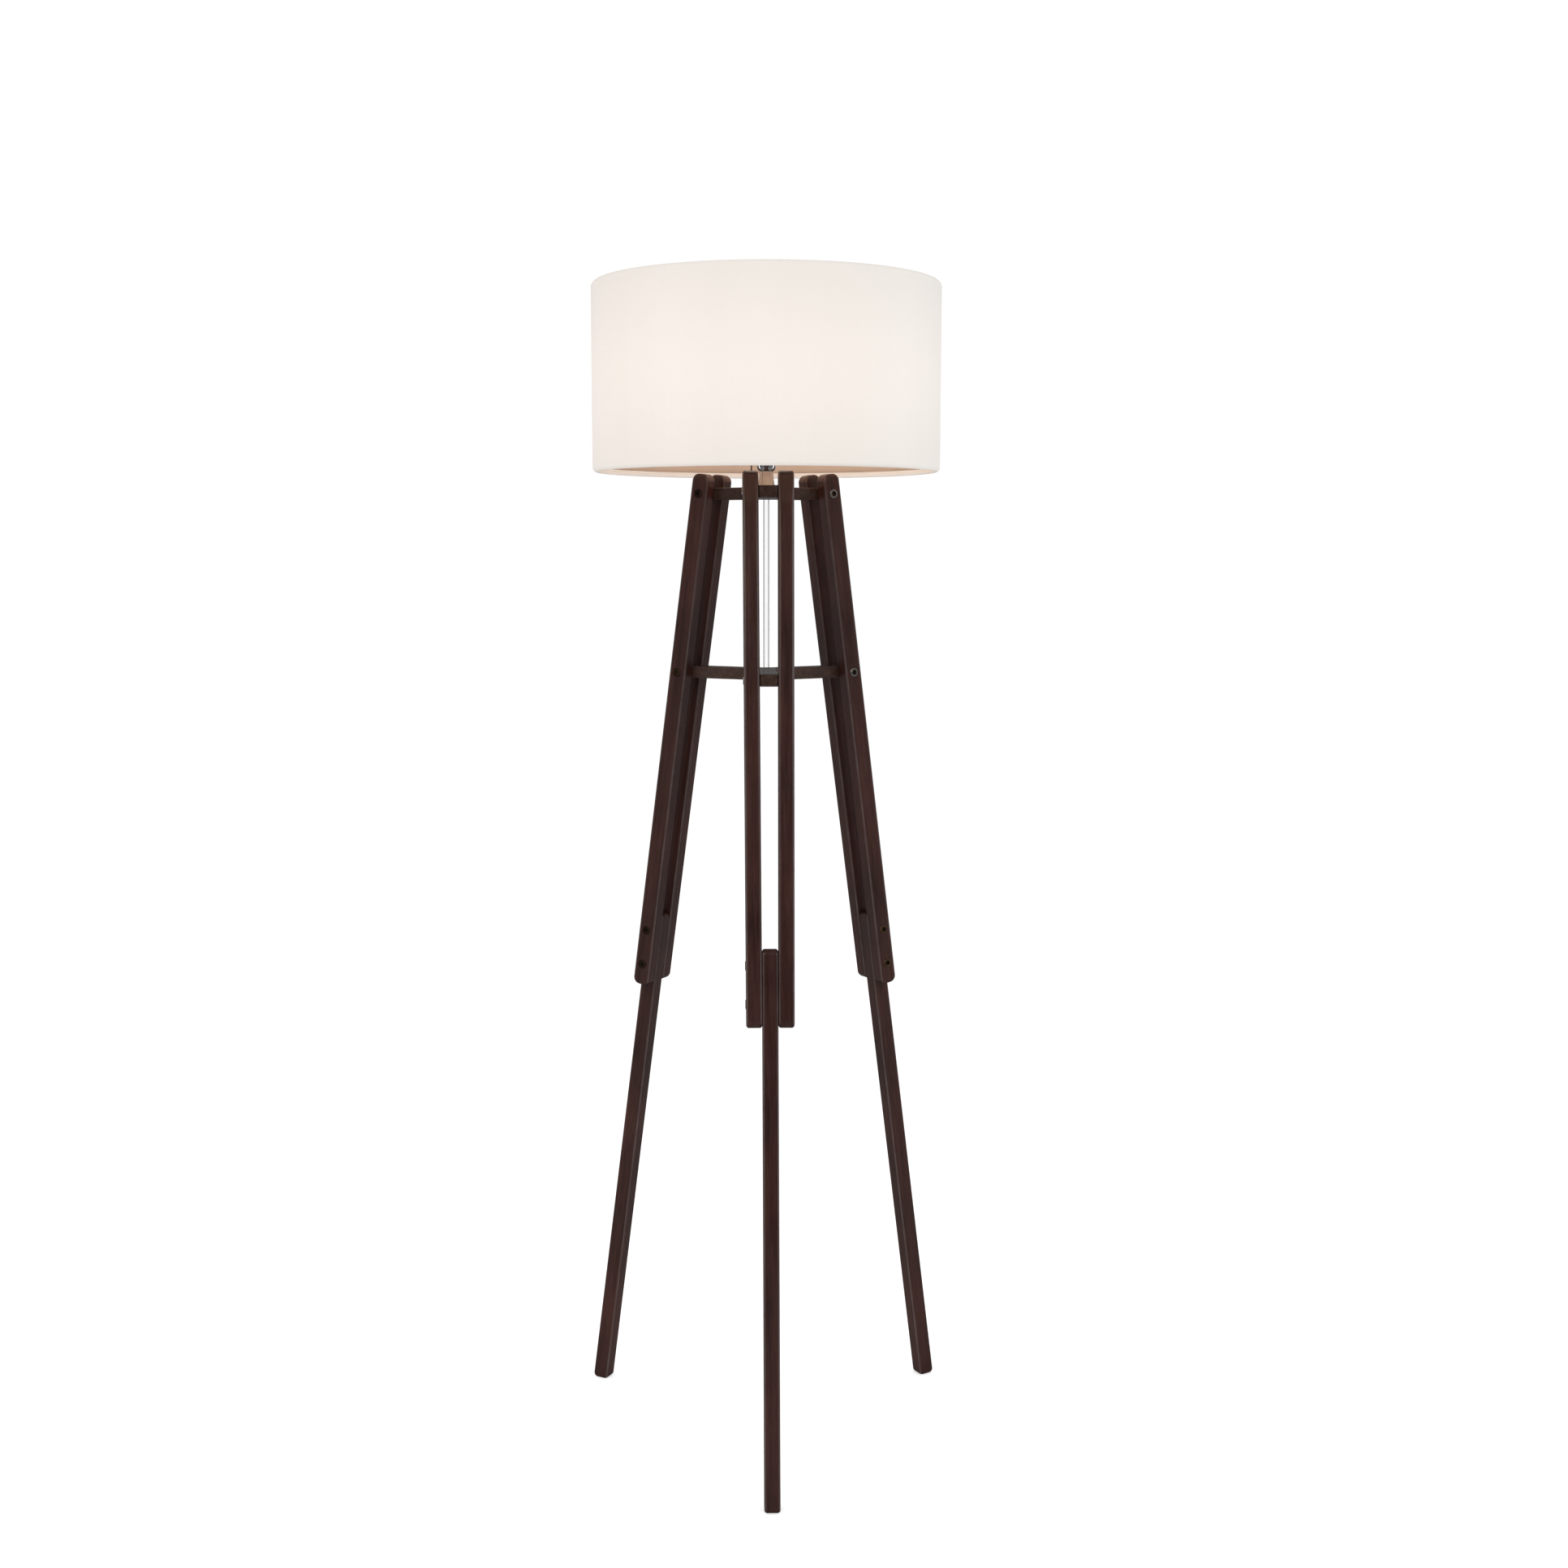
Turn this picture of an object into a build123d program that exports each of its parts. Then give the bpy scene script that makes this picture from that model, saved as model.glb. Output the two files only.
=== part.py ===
"""Tripod floor lamp: three split wooden legs, two Y-shaped plates and a drum shade over one bulb.

Frame: millimetres, +Z up, origin on the floor under the lamp's axis, front leg towards -Y.
Each leg has its own frame: x points out of the tripod, y runs round it and z climbs the leg from the floor.
"""

from build123d import *
from math import atan2, cos, degrees, hypot, radians, tan
import os

# Tripod
LEG_ANGLES = {"front": -90.0, "right": 30.0, "left": 150.0}
FOOT_RADIUS = 272.0
TOP_PLATE_RADIUS = 85.0
TOP_PLATE_Z = 1279.0
MID_PLATE_Z = 1040.0
SLAT_TOP_Z = 1305.0
SLAT_BOTTOM_Z = 602.0
LOWER_LEG_TOP_Z = 701.0
JOINT_BOLT_UPPER_Z = 680.0
JOINT_BOLT_LOWER_Z = 631.5
SLAT_WIDTH = 25.0
SLAT_THICKNESS = 20.5
TOP_PLATE_ARM_WIDTH = 25.0
LOWER_LEG_WIDTH = 23.5
LOWER_LEG_THICKNESS = 20.5
LONG_EDGE_ROUND = 3.6
SLAT_END_ROUND = 9.5
LOWER_LEG_END_ROUND = 7.5
FOOT_CORNER_ROUND = 6.0

# Plates
PLATE_THICKNESS = 16.0
PLATE_END_RECESS = 2.5
PLATE_CROTCH_ROUND = 14.0
PLATE_END_ROUND = 3.0
PLATE_RIM_ROUND = 1.0

# Furniture bolts
BOLT_RADIUS = 3.0
BOLT_HOLE_CLEARANCE = 0.1
BOLT_HEAD_RADIUS = 6.0
BOLT_HEAD_THICKNESS = 3.0
BOLT_HEAD_CHAMFER = 0.5
BOLT_HEAD_PROUD = 0.8
BOLT_KEY_WIDTH = 6.5
BOLT_KEY_DEPTH = 2.6
BOLT_END_RECESS = 2.0
NUT_WIDTH = 10.0
NUT_THICKNESS = 5.0
NUT_RECESS = 0.7
COUNTERBORE_CLEARANCE = 0.3
CUT_OVERLAP = 1.0

# Clear tube and threaded tube on the axis
CLEAR_TUBE_RADIUS = 4.0
CLEAR_TUBE_WALL = 1.0
CLEAR_TUBE_SEAT = 5.0
NIPPLE_RADIUS = 5.2
NIPPLE_FIT = 0.1
NIPPLE_END = 1.2
LOCKNUT_WIDTH = 14.0
LOCKNUT_THICKNESS = 4.0
WASHER_RADIUS = 8.6
WASHER_THICKNESS = 1.0
RECESS_CLEARANCE = 0.4

# Chrome fitting under the bulb
FLANGE_RADIUS = 12.0
FLANGE_THICKNESS = 1.5
NECK_HEIGHT = 19.0
NECK_BOTTOM_RADIUS = 11.4
NECK_TOP_RADIUS = 9.3
NECK_MIDDLE_RADIUS = 10.2
NECK_MIDDLE_SHARE = 0.4
BOWL_BOTTOM_RADIUS = 9.2
BOWL_WAIST_RADIUS = 12.2
BOWL_WAIST_HEIGHT = 4.6
BOWL_SHOULDER_RADIUS = 12.9
BOWL_SHOULDER_HEIGHT = 9.5
BOWL_HEIGHT = 22.5
SHELL_RADIUS = 17.5
SHELL_WALL = 0.8
SHELL_HEIGHT = 20.0

# Lamp holder core, screw shell and contact
CORE_FIT = 0.1
COLLAR_RADIUS = 24.0
COLLAR_THICKNESS = 3.0
THREAD_RADIUS = 19.0
THREAD_HEIGHT = 15.0
SCREW_SHELL_RADIUS = 14.2
SCREW_SHELL_WALL = 0.8
SCREW_SHELL_HEIGHT = 26.0
CORE_FLOOR = 4.0
CONTACT_RADIUS = 4.0
CONTACT_HEIGHT = 2.5

# Bulb
BULB_FIT = 0.1
BULB_CAP_HEIGHT = 25.0
BULB_BUTTON_RADIUS = 4.5
BULB_BUTTON_HEIGHT = 1.5
BULB_NECK_RADIUS = 13.6
BULB_GLOBE_RADIUS = 30.0
BULB_GLOBE_RISE = 50.0
BULB_GLASS_WALL = 1.2
BULB_FLARE_WIDTH = 3.2
BULB_FLARE_RISE = 14.0

# Shade
SHADE_RADIUS = 228.6
SHADE_TOP_Z = 1548.8
SHADE_BOTTOM_Z = 1306.0
FABRIC_THICKNESS = 0.8
LINER_THICKNESS = 1.2
RING_WIRE_RADIUS = 2.0
HEM_HEIGHT = 11.0
HEM_THICKNESS = 0.7
SPOKE_ANGLES = (-30.0, 90.0, 210.0)
SPOKE_RADIUS = 2.0
SPOKE_LEVEL_RUN = 34.0
SPOKE_BEND_RADIUS = 20.0
FITTER_RING_WIDTH = 7.0
FITTER_RING_THICKNESS = 2.5
FITTER_FIT = 0.08
CLAMP_RING_RADIUS = 24.0
CLAMP_RING_HEIGHT = 7.0
CLAMP_GRIP_COUNT = 24
CLAMP_GRIP_RADIUS = 1.0

# Pull switch
PULL_ANGLE = -144.3
PULL_RADIUS = 24.0
SPOUT_RADIUS = 3.4
SPOUT_BORE_RADIUS = 1.5
SPOUT_HEIGHT = 15.0
SPOUT_TOP_DROP = 3.0
SPOUT_LIP = 0.9
SPOUT_ARM_RADIUS = 3.2
SPOUT_ARM_DROP = 1.0
PULL_FIT = 0.06
PLUNGER_ENGAGEMENT = 11.5
FERRULE_RADIUS = 2.4
FERRULE_HEIGHT = 6.0
PULL_CORD_RADIUS = 1.0
PULL_CORD_POINTS = [
    (-19.49, -14.0, 1318.0),
    (-21.4, -14.7, 1291.0),
    (-22.1, -15.3, 1262.0),
    (-21.5, -15.0, 1232.0),
    (-21.8, -15.1, 1204.0),
]
KNOB_RADIUS = 5.0
KNOB_HEIGHT = 19.0
KNOB_TOP_RADIUS = 1.8
KNOB_NECK_RADIUS = 2.6
KNOB_NECK_DROP = 5.0
KNOB_WIDEST_DROP = 13.5
PULL_BEND_SHARE = 0.45

# Worked out from the sizes above
LEG_SLOPE = (FOOT_RADIUS - TOP_PLATE_RADIUS) / TOP_PLATE_Z
LEG_TILT = degrees(atan2(FOOT_RADIUS - TOP_PLATE_RADIUS, TOP_PLATE_Z))
BOLT_HOLE_RADIUS = BOLT_RADIUS + BOLT_HOLE_CLEARANCE
HEAD_BORE_RADIUS = BOLT_HEAD_RADIUS + COUNTERBORE_CLEARANCE
NUT_BORE_RADIUS = NUT_WIDTH / 2 / cos(radians(30)) + COUNTERBORE_CLEARANCE
NUT_BORE_DEPTH = NUT_THICKNESS + NUT_RECESS
HEAD_BORE_DEPTH = BOLT_HEAD_THICKNESS - BOLT_HEAD_PROUD
PLATE_TOP = TOP_PLATE_Z + PLATE_THICKNESS / 2
PLATE_UNDERSIDE = TOP_PLATE_Z - PLATE_THICKNESS / 2
GAP_RATE = (TOP_PLATE_ARM_WIDTH - LOWER_LEG_THICKNESS) / (PLATE_UNDERSIDE - SLAT_BOTTOM_Z)
SLAT_SPLAY = degrees(atan2(GAP_RATE * cos(radians(LEG_TILT)), 2))
AXIS_END = 0.01
LOCKNUT_RECESS_DEPTH = WASHER_THICKNESS + LOCKNUT_THICKNESS + RECESS_CLEARANCE
NIPPLE_BORE = CLEAR_TUBE_RADIUS + NIPPLE_FIT
NECK_BOTTOM = PLATE_TOP + FLANGE_THICKNESS
BOWL_BOTTOM = NECK_BOTTOM + NECK_HEIGHT
SHELL_BOTTOM = BOWL_BOTTOM + BOWL_HEIGHT
COLLAR_BOTTOM = SHELL_BOTTOM + SHELL_HEIGHT
COLLAR_TOP = COLLAR_BOTTOM + COLLAR_THICKNESS
CORE_TOP = COLLAR_TOP + THREAD_HEIGHT
SCREW_SHELL_BOTTOM = CORE_TOP - SCREW_SHELL_HEIGHT
CORE_RADIUS = SHELL_RADIUS - SHELL_WALL - CORE_FIT
BULB_BOTTOM = SCREW_SHELL_BOTTOM + CONTACT_HEIGHT
BULB_CAP_RADIUS = SCREW_SHELL_RADIUS - SCREW_SHELL_WALL - BULB_FIT
GLASS_BOTTOM = BULB_BOTTOM + BULB_BUTTON_HEIGHT + BULB_CAP_HEIGHT
FITTER_BOTTOM = COLLAR_TOP + FITTER_FIT
CLAMP_BOTTOM = FITTER_BOTTOM + FITTER_RING_THICKNESS + FITTER_FIT
LINER_RADIUS = SHADE_RADIUS - HEM_THICKNESS - FABRIC_THICKNESS
LINER_INNER = LINER_RADIUS - LINER_THICKNESS
RING_PATH_RADIUS = LINER_INNER - RING_WIRE_RADIUS
RING_TOP_Z = SHADE_TOP_Z - HEM_THICKNESS - RING_WIRE_RADIUS
RING_BOTTOM_Z = SHADE_BOTTOM_Z + HEM_THICKNESS + RING_WIRE_RADIUS
SHADE_WALL_HEIGHT = SHADE_TOP_Z - SHADE_BOTTOM_Z - 2 * HEM_THICKNESS
SPOUT_TOP = COLLAR_BOTTOM - SPOUT_TOP_DROP
SPOUT_BOTTOM = SPOUT_TOP - SPOUT_HEIGHT
FERRULE_BOTTOM = PULL_CORD_POINTS[0][2]


def leg_frame(angle):
    """Frame of the leg at this angle round the lamp, with its origin where the centreline meets the floor."""
    return Rot(0, 0, angle) * Pos(FOOT_RADIUS, 0, 0) * Rot(0, -LEG_TILT, 0)


def along_leg(height):
    """Distance up the leg's centreline at a height above the floor."""
    return height / cos(radians(LEG_TILT))


def leg_radius(height):
    """Distance from the lamp's axis to the leg's centreline at a height above the floor."""
    return FOOT_RADIUS - LEG_SLOPE * height


def slat_gap(height):
    """Gap between the leg's two slats, which spread a little from the lower leg up to the top plate."""
    return LOWER_LEG_THICKNESS + GAP_RATE * (height - SLAT_BOTTOM_Z)


def outer_face(height):
    """Distance from the leg's centreline to the outside of either slat at a height above the floor."""
    return slat_gap(height) / 2 + SLAT_THICKNESS


def across(radius, y_from, y_to, height):
    """Cylinder that crosses the leg from y_from to y_to at a height."""
    span = Cylinder(radius, y_to - y_from, align=(Align.CENTER, Align.CENTER, Align.MIN))
    return Pos(0, y_from, along_leg(height)) * Rot(-90, 0, 0) * span


def hexagon_across(width, y_from, y_to, height):
    """Hexagonal prism that crosses the leg from y_from to y_to at a height."""
    face = RegularPolygon(width / 2, 6, major_radius=False)
    return Pos(0, y_from, along_leg(height)) * Rot(-90, 0, 0) * extrude(face, y_to - y_from)


def ring(outer, inner, bottom, height):
    """Round tube on the lamp's axis."""
    shape = Cylinder(outer, height, align=(Align.CENTER, Align.CENTER, Align.MIN))
    shape -= Cylinder(inner, height, align=(Align.CENTER, Align.CENTER, Align.MIN))
    return Pos(0, 0, bottom) * shape


def disc(radius, bottom, height):
    """Round solid on the lamp's axis."""
    return Pos(0, 0, bottom) * Cylinder(radius, height, align=(Align.CENTER, Align.CENTER, Align.MIN))


def joint_bolt_heights():
    """Heights of the two bolts through a lower leg."""
    return (JOINT_BOLT_UPPER_Z, JOINT_BOLT_LOWER_Z)


def bolt_heights():
    """Heights of a leg's four bolts, from the top plate down."""
    return (TOP_PLATE_Z, MID_PLATE_Z) + joint_bolt_heights()


def bolt_hole(height):
    """Bolt hole through the whole leg at a height."""
    reach = outer_face(height) + CUT_OVERLAP
    return across(BOLT_HOLE_RADIUS, -reach, reach, height)


def round_outline(shape):
    """Rounds the long edges and the ends of a flat wooden bar that lies across y."""
    broad_faces = shape.faces().filter_by(Axis.Y)
    return fillet(broad_faces.edges(), LONG_EDGE_ROUND)


def slat(side):
    """Upper leg slat with rounded ends; side is -1 for the bolt-head side and +1 for the nut side."""
    bottom = along_leg(SLAT_BOTTOM_Z)
    length = along_leg(SLAT_TOP_Z) - bottom
    outline = Pos(0, length / 2) * RectangleRounded(SLAT_WIDTH, length, SLAT_END_ROUND)
    bar = round_outline(extrude(Plane.XZ * outline, SLAT_THICKNESS / 2, both=True))
    offset = side * (LOWER_LEG_THICKNESS + SLAT_THICKNESS) / 2
    bar = Pos(0, offset, bottom) * Rot(-side * SLAT_SPLAY, 0, 0) * bar
    for height in bolt_heights():
        outside = outer_face(height)
        bar -= bolt_hole(height)
        if side < 0:
            bar -= across(HEAD_BORE_RADIUS, -outside - CUT_OVERLAP, -outside + HEAD_BORE_DEPTH, height)
        else:
            bar -= across(NUT_BORE_RADIUS, outside - NUT_BORE_DEPTH, outside + CUT_OVERLAP, height)
    return bar


def lower_leg():
    """Single lower leg between the slats, cut level with the floor at the foot."""
    half = LOWER_LEG_WIDTH / 2
    foot_rise = half * tan(radians(LEG_TILT))
    top = along_leg(LOWER_LEG_TOP_Z)
    outline = make_face(Polyline((-half, foot_rise), (half, -foot_rise), (half, top), (-half, top), close=True))
    outline = fillet(outline.vertices().sort_by(Axis.Y)[:2], FOOT_CORNER_ROUND)
    outline = fillet(outline.vertices().sort_by(Axis.Y)[-2:], LOWER_LEG_END_ROUND)
    bar = extrude(Plane.XZ * outline, LOWER_LEG_THICKNESS / 2, both=True)
    bar = round_outline(bar)
    for height in joint_bolt_heights():
        bar -= bolt_hole(height)
    return bar


def bolt(height):
    """Furniture bolt across the leg: flat head with a hexagon socket and a plain shank."""
    head_face = -outer_face(height) - BOLT_HEAD_PROUD
    head_back = head_face + BOLT_HEAD_THICKNESS
    shape = across(BOLT_HEAD_RADIUS, head_face, head_back, height)
    shape = chamfer(shape.edges().filter_by(GeomType.CIRCLE).sort_by(Axis.Y)[0], BOLT_HEAD_CHAMFER)
    shape += across(BOLT_RADIUS, head_back, outer_face(height) - NUT_RECESS - BOLT_END_RECESS, height)
    return shape - hexagon_across(BOLT_KEY_WIDTH, head_face - CUT_OVERLAP, head_face + BOLT_KEY_DEPTH, height)


def nut(height):
    """Hexagon nut, sunk in the slat on the nut side."""
    nut_face = outer_face(height) - NUT_RECESS
    return hexagon_across(NUT_WIDTH, nut_face - NUT_THICKNESS, nut_face, height) - bolt_hole(height)


def nuts():
    """The leg's four nuts."""
    return Compound(children=[nut(height) for height in bolt_heights()])


def plate(height):
    """Y-shaped plate whose three arms fill the gaps between the slats."""
    arm_width = slat_gap(height - PLATE_THICKNESS / 2)
    reach = leg_radius(height) + SLAT_WIDTH / 2 - PLATE_END_RECESS
    outline = Sketch()
    for angle in LEG_ANGLES.values():
        outline += Rot(0, 0, angle) * Rectangle(reach, arm_width, align=(Align.MIN, Align.CENTER))
    crotches = outline.vertices().filter_by(lambda v: hypot(v.X, v.Y) < arm_width)
    outline = fillet(crotches, PLATE_CROTCH_ROUND)
    ends = outline.vertices().filter_by(lambda v: hypot(v.X, v.Y) > reach)
    outline = fillet(ends, PLATE_END_ROUND)
    shape = extrude(outline, PLATE_THICKNESS)
    rims = shape.faces().filter_by(Axis.Z).edges()
    shape = Pos(0, 0, height - PLATE_THICKNESS / 2) * fillet(rims, PLATE_RIM_ROUND)
    for angle in LEG_ANGLES.values():
        shape -= leg_frame(angle) * bolt_hole(height)
    return shape


def top_plate():
    """Top plate with a bore for the threaded tube and a recess for its lock nut."""
    shape = plate(TOP_PLATE_Z)
    shape -= disc(NIPPLE_RADIUS + NIPPLE_FIT, PLATE_UNDERSIDE - CUT_OVERLAP, PLATE_THICKNESS + 2 * CUT_OVERLAP)
    recess_radius = WASHER_RADIUS + RECESS_CLEARANCE
    return shape - disc(recess_radius, PLATE_UNDERSIDE - CUT_OVERLAP, LOCKNUT_RECESS_DEPTH + CUT_OVERLAP)


def mid_plate():
    """Middle plate with a blind seat for the clear tube."""
    seat_floor = MID_PLATE_Z + PLATE_THICKNESS / 2 - CLEAR_TUBE_SEAT
    return plate(MID_PLATE_Z) - disc(CLEAR_TUBE_RADIUS, seat_floor, CLEAR_TUBE_SEAT + CUT_OVERLAP)


def washer():
    """Washer between the lock nut and the top plate."""
    top = PLATE_UNDERSIDE + LOCKNUT_RECESS_DEPTH
    return ring(WASHER_RADIUS, NIPPLE_RADIUS, top - WASHER_THICKNESS, WASHER_THICKNESS)


def locknut(bottom):
    """Thin hexagon nut on the threaded tube."""
    shape = extrude(RegularPolygon(LOCKNUT_WIDTH / 2, 6, major_radius=False), LOCKNUT_THICKNESS)
    return Pos(0, 0, bottom) * shape - disc(NIPPLE_RADIUS, bottom - CUT_OVERLAP, LOCKNUT_THICKNESS + 2 * CUT_OVERLAP)


def clear_tube():
    """Clear tube on the axis, from its seat in the middle plate up into the threaded tube."""
    bottom = MID_PLATE_Z + PLATE_THICKNESS / 2 - CLEAR_TUBE_SEAT
    top = PLATE_UNDERSIDE + LOCKNUT_RECESS_DEPTH
    return ring(CLEAR_TUBE_RADIUS, CLEAR_TUBE_RADIUS - CLEAR_TUBE_WALL, bottom, top - bottom)


def nipple():
    """Threaded tube that clamps the chrome fitting to the top plate."""
    bottom = PLATE_UNDERSIDE + RECESS_CLEARANCE
    top = BOWL_BOTTOM + SHELL_WALL + LOCKNUT_THICKNESS + NIPPLE_END
    return ring(NIPPLE_RADIUS, NIPPLE_BORE, bottom, top - bottom)


def neck():
    """Chrome neck: a concave bell, wide at the flange."""
    start = (NECK_BOTTOM_RADIUS, NECK_BOTTOM)
    middle = (NECK_MIDDLE_RADIUS, NECK_BOTTOM + NECK_HEIGHT * NECK_MIDDLE_SHARE)
    end = (NECK_TOP_RADIUS, NECK_BOTTOM + NECK_HEIGHT)
    bore = NIPPLE_RADIUS + NIPPLE_FIT
    flare = Spline(start, middle, end)
    walls = Polyline(end, (bore, end[1]), (bore, start[1]), start)
    return revolve(Plane.XZ * make_face([flare, walls]), Axis.Z)


def bowl_profile(wall):
    """Half section of the bowl, set in by a wall, from the axis up to the rim."""
    base = (AXIS_END, BOWL_BOTTOM + wall)
    corner = (BOWL_BOTTOM_RADIUS - wall, BOWL_BOTTOM + wall)
    waist = (BOWL_WAIST_RADIUS - wall, BOWL_BOTTOM + BOWL_WAIST_HEIGHT)
    shoulder = (BOWL_SHOULDER_RADIUS - wall, BOWL_BOTTOM + BOWL_SHOULDER_HEIGHT)
    rim = (SHELL_RADIUS - wall, SHELL_BOTTOM)
    side = Spline(corner, waist, shoulder, rim)
    return make_face([side, Polyline(rim, (AXIS_END, SHELL_BOTTOM), base, corner)])


def holder_bowl():
    """Chrome bowl that closes the lamp holder from below."""
    shape = revolve(Plane.XZ * bowl_profile(0), Axis.Z) - revolve(Plane.XZ * bowl_profile(SHELL_WALL), Axis.Z)
    return shape - disc(NIPPLE_RADIUS + NIPPLE_FIT, BOWL_BOTTOM - CUT_OVERLAP, BOWL_WAIST_HEIGHT)


def holder_shell():
    """Chrome sleeve above the bowl."""
    return ring(SHELL_RADIUS, SHELL_RADIUS - SHELL_WALL, SHELL_BOTTOM, SHELL_HEIGHT)


def socket_core():
    """Insulating core: shade collar, threaded rim and the well for the screw shell."""
    shape = disc(CORE_RADIUS, SCREW_SHELL_BOTTOM - CORE_FLOOR, COLLAR_BOTTOM - SCREW_SHELL_BOTTOM + CORE_FLOOR)
    shape += disc(COLLAR_RADIUS, COLLAR_BOTTOM, COLLAR_THICKNESS)
    shape += disc(THREAD_RADIUS, COLLAR_TOP, THREAD_HEIGHT)
    return shape - disc(SCREW_SHELL_RADIUS, SCREW_SHELL_BOTTOM, SCREW_SHELL_HEIGHT + CUT_OVERLAP)


def screw_shell():
    """Brass screw shell in the core."""
    return ring(SCREW_SHELL_RADIUS, SCREW_SHELL_RADIUS - SCREW_SHELL_WALL, SCREW_SHELL_BOTTOM, SCREW_SHELL_HEIGHT)


def centre_contact():
    """Brass contact under the bulb."""
    return disc(CONTACT_RADIUS, SCREW_SHELL_BOTTOM, CONTACT_HEIGHT)


def clamp_ring():
    """Ring nut with a finger grip that holds the shade's fitter on the collar."""
    shape = ring(CLAMP_RING_RADIUS, THREAD_RADIUS, CLAMP_BOTTOM, CLAMP_RING_HEIGHT)
    groove = disc(CLAMP_GRIP_RADIUS, CLAMP_BOTTOM - CUT_OVERLAP, CLAMP_RING_HEIGHT + 2 * CUT_OVERLAP)
    for index in range(CLAMP_GRIP_COUNT):
        turn = Rot(0, 0, index * 360 / CLAMP_GRIP_COUNT)
        shape -= turn * Pos(CLAMP_RING_RADIUS, 0, 0) * groove
    return shape


def bulb_cap():
    """Plain stand-in for the bulb's screw cap."""
    return disc(BULB_CAP_RADIUS, BULB_BOTTOM + BULB_BUTTON_HEIGHT, BULB_CAP_HEIGHT)


def bulb_button():
    """Contact button under the bulb's cap."""
    return disc(BULB_BUTTON_RADIUS, BULB_BOTTOM, BULB_BUTTON_HEIGHT)


def bulb_profile(wall):
    """Half section of the bulb's glass, set in by a wall."""
    neck_radius = BULB_NECK_RADIUS - wall
    globe_radius = BULB_GLOBE_RADIUS - wall
    centre = GLASS_BOTTOM + BULB_GLOBE_RISE
    top = (0, centre + globe_radius)
    side = Spline(
        (neck_radius, GLASS_BOTTOM),
        (neck_radius + BULB_FLARE_WIDTH, GLASS_BOTTOM + BULB_FLARE_RISE),
        (globe_radius, centre),
        tangents=[(0, 1), (0, 1)],
    )
    crown = RadiusArc((globe_radius, centre), top, -globe_radius)
    closing = Polyline(top, (0, GLASS_BOTTOM), (neck_radius, GLASS_BOTTOM))
    return make_face([side, crown, closing])


def bulb_glass():
    """Frosted glass envelope, open at the neck where the cap closes it."""
    return revolve(Plane.XZ * bulb_profile(0), Axis.Z) - revolve(Plane.XZ * bulb_profile(BULB_GLASS_WALL), Axis.Z)


def shade_liner():
    """Stiff liner that carries the fabric."""
    return ring(LINER_RADIUS, LINER_INNER, SHADE_BOTTOM_Z + HEM_THICKNESS, SHADE_WALL_HEIGHT)


def shade_fabric():
    """Fabric on the outside of the liner."""
    outer = LINER_RADIUS + FABRIC_THICKNESS
    return ring(outer, LINER_RADIUS, SHADE_BOTTOM_Z + HEM_THICKNESS, SHADE_WALL_HEIGHT)


def hem(edge_z, inward):
    """Fabric tape folded over one rim; inward is +1 at the bottom rim and -1 at the top rim."""
    outer_start = min(edge_z, edge_z + inward * HEM_HEIGHT)
    lip_start = min(edge_z, edge_z + inward * HEM_THICKNESS)
    shape = ring(SHADE_RADIUS, SHADE_RADIUS - HEM_THICKNESS, outer_start, HEM_HEIGHT)
    return shape + ring(SHADE_RADIUS, LINER_INNER, lip_start, HEM_THICKNESS)


def wire_ring(height):
    """Wire hoop against the inside of the liner."""
    return Pos(0, 0, height) * Torus(RING_PATH_RADIUS, RING_WIRE_RADIUS)


def spoke(angle):
    """Spoke from the fitter ring, level at first and then up to the top wire ring."""
    inner = THREAD_RADIUS + FITTER_FIT + FITTER_RING_WIDTH / 2
    level = FITTER_BOTTOM + FITTER_RING_THICKNESS / 2
    bend = (inner + SPOKE_LEVEL_RUN, 0, level)
    path = FilletPolyline((inner, 0, level), bend, (RING_PATH_RADIUS, 0, RING_TOP_Z), radius=SPOKE_BEND_RADIUS)
    profile = Plane(origin=path @ 0, z_dir=path % 0) * Circle(SPOKE_RADIUS)
    return Rot(0, 0, angle) * sweep(profile, path)


def shade_spider():
    """Fitter ring round the lamp holder with three spokes to the top wire ring."""
    inner = THREAD_RADIUS + FITTER_FIT
    shape = ring(inner + FITTER_RING_WIDTH, inner, FITTER_BOTTOM, FITTER_RING_THICKNESS)
    for angle in SPOKE_ANGLES:
        shape += spoke(angle)
    room = max(COLLAR_RADIUS, CLAMP_RING_RADIUS) + RECESS_CLEARANCE
    shape -= disc(room, FITTER_BOTTOM - SPOKE_RADIUS, SPOKE_RADIUS)
    shape -= disc(room, FITTER_BOTTOM + FITTER_RING_THICKNESS, SPOKE_RADIUS)
    return shape - wire_ring(RING_TOP_Z)


def pull_place():
    """Location of the pull switch's vertical line beside the lamp holder."""
    return Rot(0, 0, PULL_ANGLE) * Pos(PULL_RADIUS, 0, 0)


def pull_spout():
    """Elbow on the lamp holder's side with a downward bell mouth."""
    barrel = pull_place() * disc(SPOUT_RADIUS, SPOUT_BOTTOM, SPOUT_HEIGHT)
    lip = pull_place() * disc(SPOUT_RADIUS + SPOUT_LIP, SPOUT_BOTTOM, 2 * SPOUT_LIP)
    arm = Cylinder(SPOUT_ARM_RADIUS, PULL_RADIUS, align=(Align.CENTER, Align.CENTER, Align.MIN))
    arm = Pos(0, 0, SPOUT_TOP - SPOUT_RADIUS - SPOUT_ARM_DROP) * Rot(0, 0, PULL_ANGLE) * Rot(0, 90, 0) * arm
    shape = barrel + lip + arm
    shape -= disc(SHELL_RADIUS, SPOUT_BOTTOM - CUT_OVERLAP, SPOUT_HEIGHT + 2 * CUT_OVERLAP)
    return shape - pull_place() * disc(SPOUT_BORE_RADIUS, SPOUT_BOTTOM - CUT_OVERLAP, SPOUT_HEIGHT)


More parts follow.
